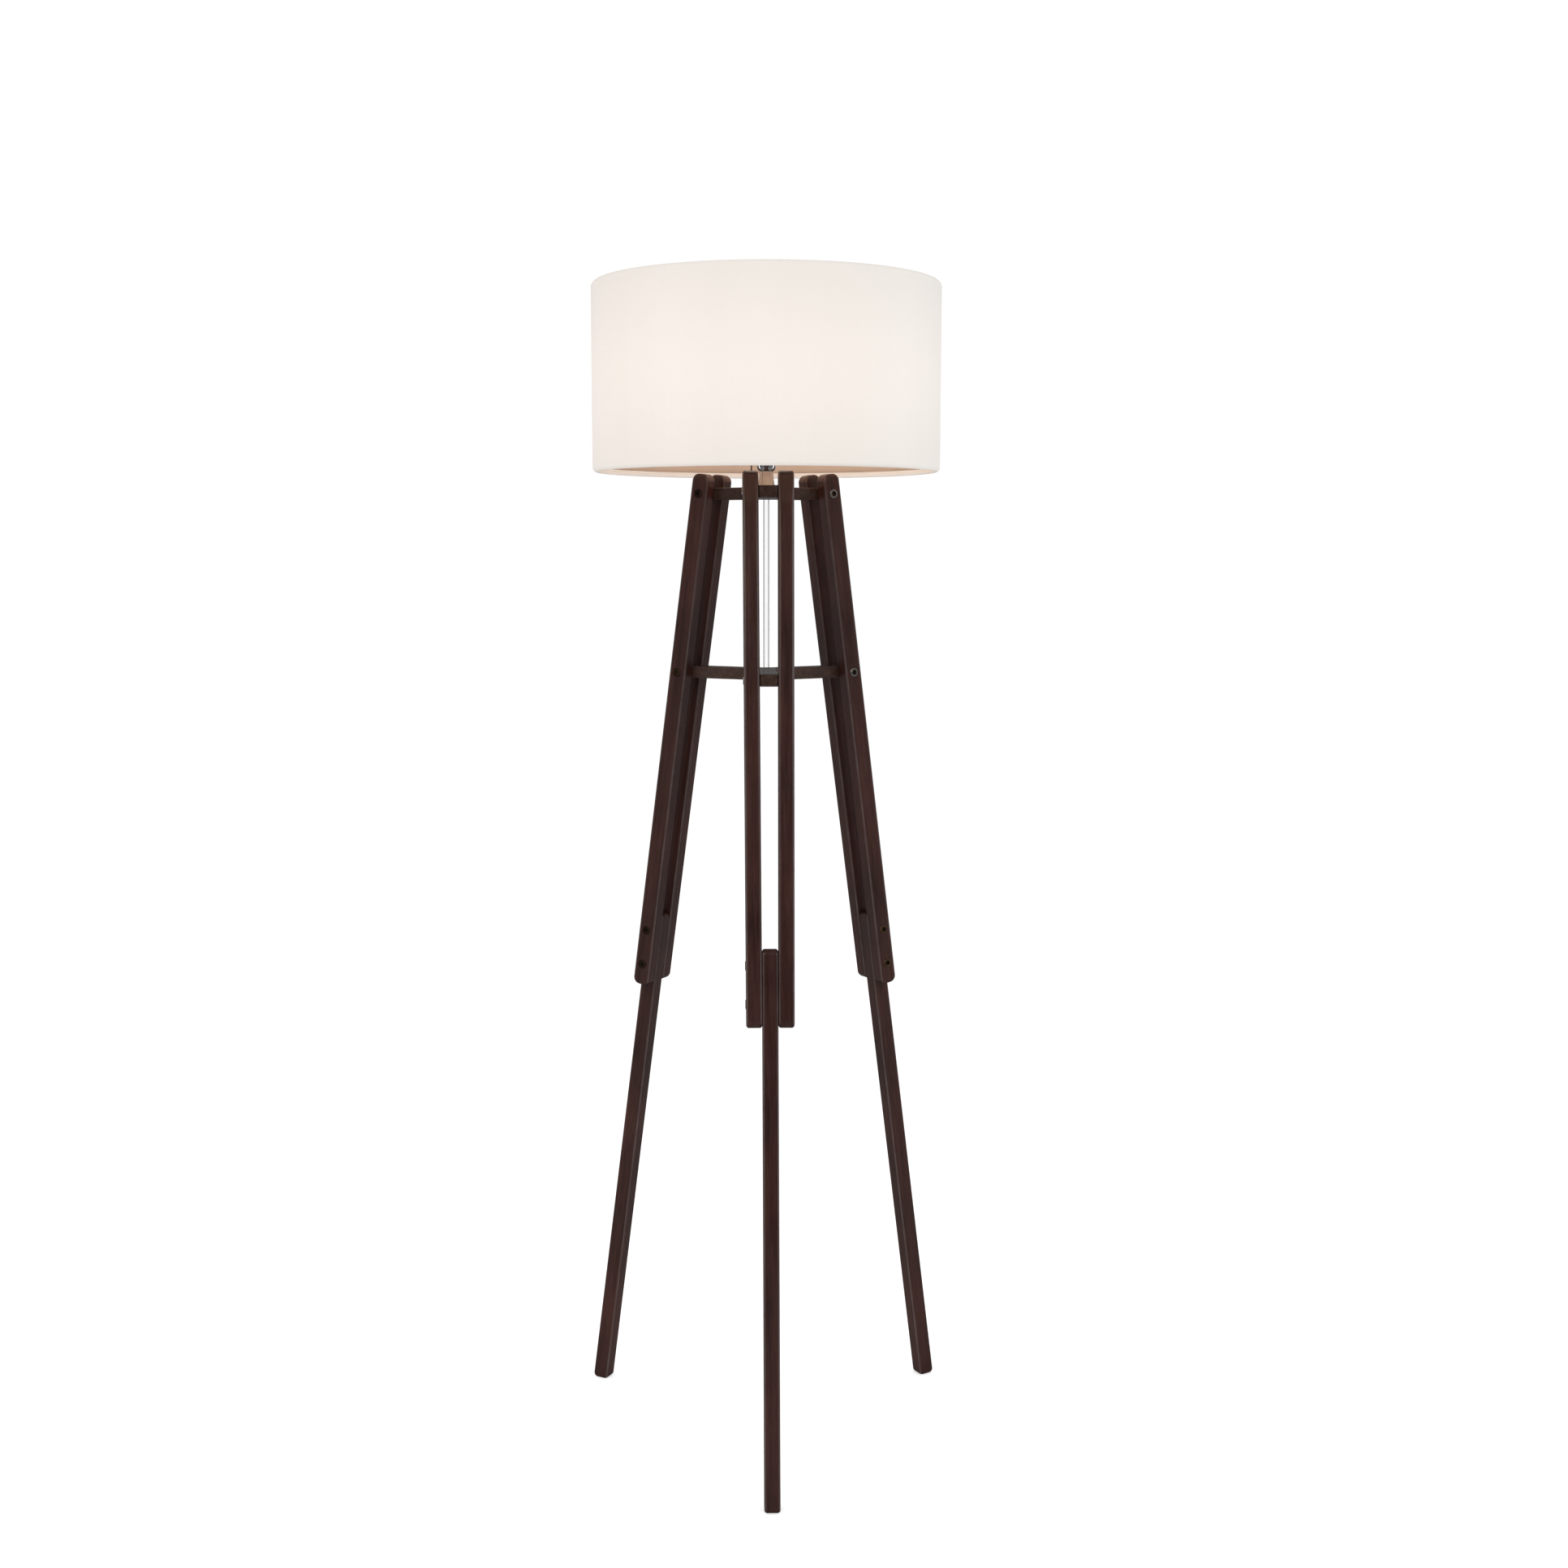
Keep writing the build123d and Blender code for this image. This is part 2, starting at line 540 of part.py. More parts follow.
def pull_plunger():
    """Brass rod that slides in the spout, with a ferrule that grips the cord."""
    rod_top = SPOUT_BOTTOM + PLUNGER_ENGAGEMENT
    ferrule_top = FERRULE_BOTTOM + FERRULE_HEIGHT
    rod = pull_place() * disc(SPOUT_BORE_RADIUS - PULL_FIT, ferrule_top, rod_top - ferrule_top)
    return rod + pull_place() * disc(FERRULE_RADIUS, FERRULE_BOTTOM, FERRULE_HEIGHT)


def pull_cord():
    """Hanging pull cord from the ferrule to the knob, as straight runs joined by tangent arcs."""
    radii = []
    for before, corner, after in zip(PULL_CORD_POINTS, PULL_CORD_POINTS[1:], PULL_CORD_POINTS[2:]):
        first = Vector(*corner) - Vector(*before)
        second = Vector(*after) - Vector(*corner)
        half_turn = radians(first.get_angle(second) / 2)
        radii.append(PULL_BEND_SHARE * min(first.length, second.length) / tan(half_turn))
    print("pull cord radii, mm:", [round(radius) for radius in radii])
    path = FilletPolyline(*PULL_CORD_POINTS, radius=radii)
    profile = Plane(origin=path @ 0, z_dir=path % 0) * Circle(PULL_CORD_RADIUS)
    cord = sweep(profile, path)
    print("pull cord volume ratio:", round(cord.volume / (profile.area * path.length), 4))
    return cord


def pull_knob():
    """Turned knob on the end of the cord."""
    x, y, top = PULL_CORD_POINTS[-1]
    outline = Spline(
        (KNOB_TOP_RADIUS, top),
        (KNOB_NECK_RADIUS, top - KNOB_NECK_DROP),
        (KNOB_RADIUS, top - KNOB_WIDEST_DROP),
        (0, top - KNOB_HEIGHT),
        tangents=[(0.4, -1), (-1, 0)],
    )
    closing = Polyline((0, top - KNOB_HEIGHT), (0, top), (KNOB_TOP_RADIUS, top))
    return Pos(x, y, 0) * revolve(Plane.XZ * make_face([outline, closing]), Axis.Z)


def all_nodes():
    """Every sub-part, by node name."""
    nodes = {}
    for leg, angle in LEG_ANGLES.items():
        frame = leg_frame(angle)
        nodes[f"slat_{leg}_a"] = frame * slat(-1)
        nodes[f"slat_{leg}_b"] = frame * slat(1)
        nodes[f"lower_leg_{leg}"] = frame * lower_leg()
        nodes[f"nuts_{leg}"] = frame * nuts()
        for index, height in enumerate(bolt_heights(), start=1):
            nodes[f"bolt_{leg}_{index}"] = frame * bolt(height)
    nodes["top_plate"] = top_plate()
    nodes["mid_plate"] = mid_plate()
    nodes["clear_tube"] = clear_tube()
    nodes["nipple"] = nipple()
    nodes["washer"] = washer()
    nodes["locknut_plate"] = locknut(PLATE_UNDERSIDE + RECESS_CLEARANCE)
    nodes["locknut_bowl"] = locknut(BOWL_BOTTOM + SHELL_WALL)
    nodes["base_flange"] = ring(FLANGE_RADIUS, NIPPLE_RADIUS + NIPPLE_FIT, PLATE_TOP, FLANGE_THICKNESS)
    nodes["neck"] = neck()
    nodes["holder_bowl"] = holder_bowl()
    nodes["holder_shell"] = holder_shell()
    nodes["socket_core"] = socket_core()
    nodes["screw_shell"] = screw_shell()
    nodes["centre_contact"] = centre_contact()
    nodes["clamp_ring"] = clamp_ring()
    nodes["bulb_cap"] = bulb_cap()
    nodes["bulb_button"] = bulb_button()
    nodes["bulb_glass"] = bulb_glass()
    nodes["shade_liner"] = shade_liner()
    nodes["shade_fabric"] = shade_fabric()
    nodes["shade_hem_top"] = hem(SHADE_TOP_Z, -1)
    nodes["shade_hem_bottom"] = hem(SHADE_BOTTOM_Z, 1)
    nodes["shade_ring_top"] = wire_ring(RING_TOP_Z)
    nodes["shade_ring_bottom"] = wire_ring(RING_BOTTOM_Z)
    nodes["shade_spider"] = shade_spider()
    nodes["pull_spout"] = pull_spout()
    nodes["pull_plunger"] = pull_plunger()
    nodes["pull_cord"] = pull_cord()
    nodes["pull_knob"] = pull_knob()
    return nodes


os.makedirs("parts", exist_ok=True)
for name, shape in all_nodes().items():
    export_step(shape, f"parts/{name}.step")
    print(name, round(shape.volume, 1))
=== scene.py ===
# %% [markdown]
# # A tripod floor lamp
# The lamp has three split wooden legs, two Y-shaped plates between them, a chrome fitting, one bulb and a
# drum shade of off-white fabric. The solid model that this script loads already holds every part at its
# true size, so the work here is to give each part the surface, softness and light that the real one has.

# %% Load the frame
import math
import random

import bmesh
import bpy
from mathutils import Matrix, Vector


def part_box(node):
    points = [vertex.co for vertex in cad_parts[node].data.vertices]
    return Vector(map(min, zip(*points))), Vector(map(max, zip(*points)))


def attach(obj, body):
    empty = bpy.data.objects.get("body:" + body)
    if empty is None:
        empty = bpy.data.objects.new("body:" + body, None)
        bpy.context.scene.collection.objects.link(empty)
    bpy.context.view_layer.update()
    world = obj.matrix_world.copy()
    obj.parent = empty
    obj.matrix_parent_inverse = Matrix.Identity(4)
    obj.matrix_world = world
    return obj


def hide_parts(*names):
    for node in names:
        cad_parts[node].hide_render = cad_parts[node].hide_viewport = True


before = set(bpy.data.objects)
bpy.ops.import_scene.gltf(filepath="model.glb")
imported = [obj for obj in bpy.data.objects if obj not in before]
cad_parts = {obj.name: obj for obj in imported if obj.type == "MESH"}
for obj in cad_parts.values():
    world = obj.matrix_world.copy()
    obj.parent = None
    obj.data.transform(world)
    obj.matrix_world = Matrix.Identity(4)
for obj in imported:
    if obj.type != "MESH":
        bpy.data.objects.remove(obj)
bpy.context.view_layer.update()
random.seed(18)


def put_in_scene(name, data):
    """Makes an object from a mesh, curve, light or camera and links it to the scene."""
    piece = bpy.data.objects.new(name, data)
    bpy.context.scene.collection.objects.link(piece)
    return piece


def middle_of(name):
    """The middle of a CAD part's box."""
    low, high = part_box(name)
    return (low + high) / 2


print("parts loaded:", len(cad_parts))

# %% [markdown]
# ## The camera
# The lamp is seen from the front, a little from its left, with the lens slightly below the shade. The
# camera leans down by a few degrees instead of using a lens shift, so that it can also walk round the
# lamp.

# %% Camera
CAMERA_DISTANCE = 2.5724
CAMERA_HEIGHT = 1.2065
CAMERA_TURN = 0.0280
CAMERA_PITCH = 0.1218
FOCAL_SHARE = 1.2265
SIDE_SHIFT = 0.0113


def place_camera():
    """Stands the camera in front of the lamp and makes it the scene's camera."""
    data = bpy.data.cameras.new("lamp_camera")
    data.sensor_width = 36.0
    data.lens = FOCAL_SHARE * data.sensor_width
    data.shift_x = SIDE_SHIFT
    camera = put_in_scene("lamp_camera", data)
    heading = Vector((math.sin(CAMERA_TURN), math.cos(CAMERA_TURN), 0.0))
    camera.location = -heading * CAMERA_DISTANCE + Vector((0, 0, CAMERA_HEIGHT))
    aim = heading * math.cos(CAMERA_PITCH) - Vector((0, 0, math.sin(CAMERA_PITCH)))
    camera.rotation_euler = aim.to_track_quat("-Z", "Y").to_euler()
    bpy.context.scene.camera = camera
    return camera


camera = place_camera()
print("lens, mm:", round(camera.data.lens, 1))

# %% [markdown]
# ## Shared surface effects
# Wood grain, woven threads and soft clouds of dust turn up on more than one piece or want a name of their
# own. Each is a small node group: a box of shader nodes with named inputs and outputs that a material can
# use.

# %% Helpers for node groups and materials
def new_group(name, inputs, outputs):
    """Makes an empty shader node group with these sockets and returns it with its two end nodes."""
    group = bpy.data.node_groups.new(name, "ShaderNodeTree")
    for label, kind, value in inputs:
        socket = group.interface.new_socket(label, in_out="INPUT", socket_type=kind)
        if value is not None:
            socket.default_value = value
    for label, kind in outputs:
        group.interface.new_socket(label, in_out="OUTPUT", socket_type=kind)
    return group, group.nodes.new("NodeGroupInput"), group.nodes.new("NodeGroupOutput")


def add_node(tree, kind, links=(), **settings):
    """Adds a node, sets its properties or input values by name, and joins (output, input) pairs."""
    node = tree.nodes.new(kind)
    for key, value in settings.items():
        if key in node.bl_rna.properties:
            setattr(node, key, value)
    for key, value in settings.items():
        if key not in node.bl_rna.properties:
            node.inputs[key.replace("_", " ")].default_value = value
    for source, target in links:
        tree.links.new(source, node.inputs[target])
    return node


def new_material(name, **sockets):
    """Makes a material whose Principled shader has these fixed values, and returns it with the shader."""
    material = bpy.data.materials.new(name)
    material.use_nodes = True
    shader = material.node_tree.nodes["Principled BSDF"]
    for key, value in sockets.items():
        shader.inputs[key.replace("_", " ")].default_value = value
    return material, shader


def put_group(tree, group, vector, **values):
    """Places a node group fed by a vector socket, with its other inputs set by name."""
    node = tree.nodes.new("ShaderNodeGroup")
    node.node_tree = group
    tree.links.new(vector, node.inputs["Vector"])
    for key, value in values.items():
        node.inputs[key.replace("_", " ")].default_value = value
    return node


def two_tones(tree, share, first, second):
    """Mixes two fixed colours by a share and returns the mixed colour."""
    mix = add_node(tree, "ShaderNodeMix", [(share, 0)], data_type="RGBA")
    mix.inputs[6].default_value = first
    mix.inputs[7].default_value = second
    return mix.outputs[2]


def dulled(tree, clouds, least, spread):
    """Roughness that runs from least up by spread where the clouds are thick."""
    dull = add_node(tree, "ShaderNodeMath", [(clouds, 0)], operation="MULTIPLY_ADD")
    dull.inputs[1].default_value = spread
    dull.inputs[2].default_value = least
    return dull.outputs[0]


def join_up(tree, shader, **outputs):
    """Joins node outputs to the shader's inputs, which are named with underscores for spaces."""
    for key, output in outputs.items():
        tree.links.new(output, shader.inputs[key.replace("_", " ")])


def dress(material, *nodes):
    """Gives CAD nodes this material in place of their plain one."""
    for name in nodes:
        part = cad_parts[name]
        part.data.materials.clear()
        part.data.materials.append(material)


print("helpers ready")

# %% [markdown]
# ### Grain under lacquer
# Straight grain is long fine streaks along the wood. Noise stretched along one axis gives the streaks, a
# second finer noise gives the pores, and their sum mixes two tones of dark espresso stain with a red
# undertone.

# %% Grain group
def grain_group():
    """Streaks and pores along the local Z axis: colour, roughness and height."""
    group, start, end = new_group(
        "lacquered_grain",
        [
            ("Vector", "NodeSocketVector", None),
            ("Dark", "NodeSocketColor", (0.02, 0.008, 0.006, 1)),
            ("Light", "NodeSocketColor", (0.06, 0.024, 0.016, 1)),
            ("Gloss Roughness", "NodeSocketFloat", 0.3),
        ],
        [("Color", "NodeSocketColor"), ("Roughness", "NodeSocketFloat"), ("Height", "NodeSocketFloat")],
    )
    stretch = add_node(group, "ShaderNodeMapping", [(start.outputs["Vector"], "Vector")])
    stretch.inputs["Scale"].default_value = (1.0, 1.0, 0.045)
    streaks = add_node(
        group, "ShaderNodeTexNoise", [(stretch.outputs[0], "Vector")],
        Scale=170.0, Detail=4.0, Roughness=0.55, Distortion=0.35,
    )
    pores = add_node(
        group, "ShaderNodeTexNoise", [(stretch.outputs[0], "Vector")],
        Scale=900.0, Detail=2.0, Roughness=0.6,
    )
    drift = add_node(
        group, "ShaderNodeTexNoise", [(start.outputs["Vector"], "Vector")], Scale=7.0, Detail=2.0,
    )
    both = add_node(
        group, "ShaderNodeMath", [(streaks.outputs["Fac"], 0), (pores.outputs["Fac"], 1)],
        operation="ADD",
    )
    summed = add_node(
        group, "ShaderNodeMath", [(both.outputs[0], 0), (drift.outputs["Fac"], 1)], operation="ADD",
    )
    share = add_node(
        group, "ShaderNodeMapRange", [(summed.outputs[0], "Value")], From_Min=1.1, From_Max=1.9,
    )
    colour = add_node(
        group, "ShaderNodeMix",
        [(share.outputs[0], 0), (start.outputs["Dark"], 6), (start.outputs["Light"], 7)],
        data_type="RGBA",
    )
    spread = add_node(
        group, "ShaderNodeMapRange", [(streaks.outputs["Fac"], "Value")],
        From_Min=0.3, From_Max=0.7, To_Min=-0.04, To_Max=0.06,
    )
    rough = add_node(
        group, "ShaderNodeMath", [(start.outputs["Gloss Roughness"], 0), (spread.outputs[0], 1)],
        operation="ADD", use_clamp=True,
    )
    group.links.new(colour.outputs[2], end.inputs["Color"])
    group.links.new(rough.outputs[0], end.inputs["Roughness"])
    group.links.new(both.outputs[0], end.inputs["Height"])
    return group


grain = grain_group()
print("grain sockets:", [s.name for s in grain.interface.items_tree])

# %% [markdown]
# ### Woven threads
# Plain weave is two sets of threads that pass over and under each other. Two sine waves across the cloth,
# one for each set, multiply into a checker of raised crossings and give the height. Slow noise along each
# thread gives the slubs, the slightly thicker or darker stretches that tell real cloth from paper.

# %% Weave group
def weave_group():
    """Plain weave over UV measured in metres: height, a shade value and a slub value."""
    group, start, end = new_group(
        "plain_weave",
        [("Vector", "NodeSocketVector", None), ("Threads", "NodeSocketFloat", 1400.0)],
        [("Height", "NodeSocketFloat"), ("Shade", "NodeSocketFloat"), ("Slub", "NodeSocketFloat")],
    )
    scaled = add_node(
        group, "ShaderNodeVectorMath",
        [(start.outputs["Vector"], 0), (start.outputs["Threads"], 3)], operation="SCALE",
    )
    axes = add_node(group, "ShaderNodeSeparateXYZ", [(scaled.outputs[0], 0)])
    waves = []
    for axis in ("X", "Y"):
        turn = add_node(group, "ShaderNodeMath", [(axes.outputs[axis], 0)], operation="MULTIPLY")
        turn.inputs[1].default_value = math.pi
        waves.append(add_node(group, "ShaderNodeMath", [(turn.outputs[0], 0)], operation="SINE"))
    crossing = add_node(
        group, "ShaderNodeMath", [(waves[0].outputs[0], 0), (waves[1].outputs[0], 1)], operation="MULTIPLY",
    )
    height = add_node(
        group, "ShaderNodeMapRange", [(crossing.outputs[0], "Value")], From_Min=-1.0, From_Max=1.0,
    )
    slubs = []
    for stretch in ((0.9, 0.012, 1.0), (0.012, 0.9, 1.0)):
        along = add_node(group, "ShaderNodeMapping", [(scaled.outputs[0], "Vector")])
        along.inputs["Scale"].default_value = stretch
        slubs.append(add_node(
            group, "ShaderNodeTexNoise", [(along.outputs[0], "Vector")], Scale=0.35, Detail=3.0,
        ))
    slub = add_node(
        group, "ShaderNodeMath",
        [(slubs[0].outputs["Fac"], 0), (slubs[1].outputs["Fac"], 1)], operation="ADD",
    )
    shade = add_node(
        group, "ShaderNodeMapRange", [(slub.outputs[0], "Value")],
        From_Min=0.7, From_Max=1.3, To_Min=0.0, To_Max=1.0,
    )
    group.links.new(height.outputs[0], end.inputs["Height"])
    group.links.new(shade.outputs[0], end.inputs["Shade"])
    group.links.new(slub.outputs[0], end.inputs["Slub"])
    return group


weave = weave_group()
print("weave sockets:", [s.name for s in weave.interface.items_tree])

# %% [markdown]
# ### Dust and handling
# Nothing real is evenly clean. Broad soft clouds stand for dust, fingers and uneven lacquer. Each
# material asks for them at its own size and uses them to shift its colour and its gloss.

# %% Wear group
def wear_group():
    """One mask: soft clouds over the surface."""
    group, start, end = new_group(
        "soft_wear",
        [("Vector", "NodeSocketVector", None), ("Cloud Scale", "NodeSocketFloat", 24.0)],
        [("Clouds", "NodeSocketFloat")],
    )
    clouds = add_node(
        group, "ShaderNodeTexNoise",
        [(start.outputs["Vector"], "Vector"), (start.outputs["Cloud Scale"], "Scale")],
        Detail=5.0, Roughness=0.6,
    )
    spread = add_node(
        group, "ShaderNodeMapRange", [(clouds.outputs["Fac"], "Value")], From_Min=0.35, From_Max=0.65,
    )
    group.links.new(spread.outputs[0], end.inputs["Clouds"])
    return group


wear = wear_group()
print("wear sockets:", [s.name for s in wear.interface.items_tree])

# %% [markdown]
# ## Dark lacquered wood
# The bars are cut from straight-grained wood, stained espresso and lacquered to a satin gloss. Grain
# follows each bar, and the legs lean three ways, so each leg has its own material that turns the texture
# to lie along it. Where a rounded corner faces between two flat sides, its colour is mixed toward a
# lighter tone: a painted highlight for the light that the rounding catches.

# %% Wood material
LEG_HEADINGS = {"front": -90.0, "right": 30.0, "left": 150.0}
down_front_leg = middle_of("bolt_front_4") - middle_of("bolt_front_1")
LEG_LEAN = math.atan2(-down_front_leg.y, -down_front_leg.z)


def turned_to_grain(tree, output, turn):
    """Object coordinates or normals, turned by these Euler angles so that Z lies along the grain."""
    place = add_node(tree, "ShaderNodeTexCoord")
    turned = add_node(
        tree, "ShaderNodeVectorRotate", [(place.outputs[output], "Vector")],
        rotation_type="EULER_XYZ", invert=True, Rotation=turn,
    )
    return turned.outputs[0]


def lacquered_wood(name, turn, dark, light, gloss=0.3, edge=(0.15, 0.118, 0.112, 1)):
    """Stained and lacquered wood with its grain along the turned Z axis; edge is the colour of a painted
    highlight on the rounded corners.
    """
    material, shader = new_material(name, Coat_Weight=0.4, Coat_Roughness=0.12, Specular_IOR_Level=0.4)
    tree = material.node_tree
    along = turned_to_grain(tree, "Object", turn)
    figure = put_group(tree, grain, along, Dark=dark, Light=light, Gloss_Roughness=gloss)
    worn = put_group(tree, wear, along, Cloud_Scale=31.0)
    # Painted highlight: on the rounded corners between two flat sides, found by the normal, the colour is
    # mixed toward the lighter edge tone.
    sides = add_node(tree, "ShaderNodeSeparateXYZ", [(turned_to_grain(tree, "Normal", turn), 0)])
    corner = add_node(
        tree, "ShaderNodeMath", [(sides.outputs["X"], 0), (sides.outputs["Y"], 1)], operation="MULTIPLY",
    )
    rounded = add_node(tree, "ShaderNodeMath", [(corner.outputs[0], 0)], operation="ABSOLUTE")
    thin = add_node(
        tree, "ShaderNodeMapRange", [(rounded.outputs[0], "Value")],
        From_Min=0.25, From_Max=0.5, To_Max=0.6, interpolation_type="SMOOTHSTEP",
    )
    patchy = add_node(
        tree, "ShaderNodeMapRange", [(worn.outputs["Clouds"], "Value")], To_Min=0.55, To_Max=1.0,
    )
    painted_highlight_share = add_node(
        tree, "ShaderNodeMath", [(thin.outputs[0], 0), (patchy.outputs[0], 1)], operation="MULTIPLY",
    )
    colour = add_node(
        tree, "ShaderNodeMix", [(painted_highlight_share.outputs[0], 0), (figure.outputs["Color"], 6)], data_type="RGBA",
    )
    colour.inputs[7].default_value = edge
    dull = add_node(tree, "ShaderNodeMath", [(worn.outputs["Clouds"], 0)], operation="MULTIPLY_ADD")
    dull.inputs[1].default_value = 0.05
    tree.links.new(figure.outputs["Roughness"], dull.inputs[2])
    bump = add_node(
        tree, "ShaderNodeBump", [(figure.outputs["Height"], "Height")], Strength=0.12, Distance=0.0004,
    )
    join_up(
        tree, shader, Base_Color=colour.outputs[2], Roughness=dull.outputs[0], Normal=bump.outputs[0],
    )
    return material


ESPRESSO_DARK = (0.02, 0.0065, 0.005, 1)
ESPRESSO_LIGHT = (0.066, 0.02, 0.0145, 1)
# The plates take the espresso stain in lighter, greyer tones than the legs: painted reflection of the white
# surround on their faces.
PLATE_DARK = (0.03, 0.016, 0.012, 1)
PLATE_LIGHT = (0.085, 0.048, 0.038, 1)
for leg, heading in LEG_HEADINGS.items():
    leg_turn = (0.0, -LEG_LEAN, math.radians(heading))
    leg_wood = lacquered_wood(f"espresso_{leg}", leg_turn, ESPRESSO_DARK, ESPRESSO_LIGHT)
    dress(leg_wood, f"slat_{leg}_a", f"slat_{leg}_b", f"lower_leg_{leg}")
plate_wood = lacquered_wood(
    "espresso_plate", (math.pi / 2, 0.0, 0.0), PLATE_DARK, PLATE_LIGHT, gloss=0.2,
)
dress(plate_wood, "top_plate", "mid_plate")
# The knob's painted corner highlight uses the light grain tone.
knob_wood = lacquered_wood(
    "espresso_knob", (0.0, 0.0, 0.0), ESPRESSO_DARK, ESPRESSO_LIGHT, edge=ESPRESSO_LIGHT,
)
dress(knob_wood, "pull_knob")
print("legs lean by degrees:", round(math.degrees(LEG_LEAN), 2))

# %% [markdown]
# ## Metals
# Chrome is a mirror with almost no roughness, and what it reflects makes its look. The other metals carry
# a fine unevenness left by turning and plating. The nuts are dark with oxide, and the contacts are brass.

# %% Metal material
TARNISH = 0.88


def turned_metal(name, colour, rough, tooling=0.0, cloud=0.06, tint=None):
    """Metal with soft clouds in its roughness, slight tarnish and optional fine marks from tooling."""
    material, shader = new_material(name, Metallic=1.0)
    tree = material.node_tree
    place = add_node(tree, "ShaderNodeTexCoord")
    worn = put_group(tree, wear, place.outputs["Object"], Cloud_Scale=90.0)
    clouds = worn.outputs["Clouds"]
    tarnish = tint or tuple(TARNISH * part for part in colour[:3]) + (1,)
    join_up(
        tree, shader,
        Roughness=dulled(tree, clouds, rough, cloud),
        Base_Color=two_tones(tree, clouds, colour, tarnish),
    )
    if tooling:
        marks = add_node(
            tree, "ShaderNodeTexNoise", [(place.outputs["Object"], "Vector")], Scale=2600.0, Detail=2.0,
        )
        bump = add_node(
            tree, "ShaderNodeBump", [(marks.outputs["Fac"], "Height")], Strength=tooling, Distance=0.0001,
        )
        join_up(tree, shader, Normal=bump.outputs[0])
    return material


LEGS = tuple(LEG_HEADINGS)
chrome = turned_metal("polished_chrome", (0.82, 0.82, 0.83, 1), 0.04, cloud=0.04)
satin_nickel = turned_metal("satin_nickel", (0.66, 0.62, 0.59, 1), 0.2, tooling=0.08)
bright_steel = turned_metal("turned_steel", (0.5, 0.48, 0.46, 1), 0.24, tooling=0.2)
aged_brass = turned_metal(
    "aged_brass_heads", (0.33, 0.2, 0.11, 1), 0.38, tooling=0.3, tint=(0.16, 0.09, 0.055, 1),
)
dark_oxide_and_shade = turned_metal(
    "dark_oxide_and_shade", (0.05, 0.04, 0.035, 1), 0.45, tooling=0.3, tint=(0.12, 0.07, 0.04, 1),
)
zinc = turned_metal("zinc_plate", (0.6, 0.6, 0.6, 1), 0.32, tooling=0.1)
brass = turned_metal("satin_brass", (0.74, 0.53, 0.24, 1), 0.26, tooling=0.1)
dress(chrome, "holder_bowl", "holder_shell", "base_flange")
dress(satin_nickel, "neck")
dress(bright_steel, *[f"bolt_{leg}_{number}" for leg in LEGS for number in (1, 2)])
dress(aged_brass, *[f"bolt_{leg}_{number}" for leg in LEGS for number in (3, 4)])
dress(dark_oxide_and_shade, *[f"nuts_{leg}" for leg in LEGS])
dress(zinc, "nipple", "washer", "locknut_plate", "locknut_bowl", "bulb_cap")
dress(brass, "screw_shell", "centre_contact", "bulb_button", "pull_spout", "pull_plunger")
metals = (chrome, satin_nickel, bright_steel, aged_brass, dark_oxide_and_shade, zinc, brass)
print("metals:", [metal.name for metal in metals])

# %% [markdown]
# ### Painted shade in the bolt sockets
# The shade inside a bolt's hexagon socket and at the far end of its shank is painted: those faces get the
# dark oxide material, while the head stays bright. The faces are found by their place along the bolt.

# %% Bolt sockets
SOCKET_DEPTH = 0.0029
SOCKET_REACH = 0.0040
HEAD_SKIN = 0.0004
END_SKIN = 0.0002


def paint_socket_shade(name, heading):
    """Paints shade into a bolt's hexagon socket and shank end with dark oxide; the head stays bright."""
    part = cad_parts[name]
    axis = Vector((-math.sin(heading), math.cos(heading), 0.0))
    middle = middle_of(name)
    part.data.materials.append(dark_oxide_and_shade)
    spots = [part.matrix_world @ face.center - middle for face in part.data.polygons]
    near = min(spot.dot(axis) for spot in spots)
    far = max(spot.dot(axis) for spot in spots)
    for face, spot in zip(part.data.polygons, spots):
        along = spot.dot(axis)
        from_axis = (spot - along * axis).length
        # The socket faces and the shank's far end take the dark oxide as painted shade.
        in_socket = near + HEAD_SKIN < along < near + SOCKET_DEPTH and from_axis < SOCKET_REACH
        if in_socket or along > far - END_SKIN:
            face.material_index = 1


for leg, heading in LEG_HEADINGS.items():
    for number in (1, 2, 3, 4):
        paint_socket_shade(f"bolt_{leg}_{number}", math.radians(heading))
print("bolts with dark sockets:", 4 * len(LEGS))

# %% [markdown]
# ## Moulded plastic, clear tube and enamel
# The lamp holder's core and the clamp ring are black moulded plastic with a fine pebbled skin. The tube
# between the plates is clear, so it is made nearly invisible face on and an opaque grey where its wall
# turns away: a painted line that stands in for the light a clear wall bends and mirrors at its edge.

# %% Plastic, clear and enamel materials
SOILING = 0.9


def moulded(name, colour, rough, pebble=0.2, scale=1800.0):
    """Moulded plastic or enamel with a fine pebbled skin and faint clouding."""
    material, shader = new_material(name)
    tree = material.node_tree
    place = add_node(tree, "ShaderNodeTexCoord")
    worn = put_group(tree, wear, place.outputs["Object"], Cloud_Scale=60.0)
    clouds = worn.outputs["Clouds"]
    soiled = tuple(SOILING * part for part in colour[:3]) + (1,)
    skin = add_node(
        tree, "ShaderNodeTexNoise", [(place.outputs["Object"], "Vector")], Scale=scale, Detail=3.0,
    )
    bump = add_node(
        tree, "ShaderNodeBump", [(skin.outputs["Fac"], "Height")], Strength=pebble, Distance=0.0002,
    )
    join_up(
        tree, shader,
        Base_Color=two_tones(tree, clouds, colour, soiled),
        Roughness=dulled(tree, clouds, rough, 0.08),
        Normal=bump.outputs[0],
    )
    return material


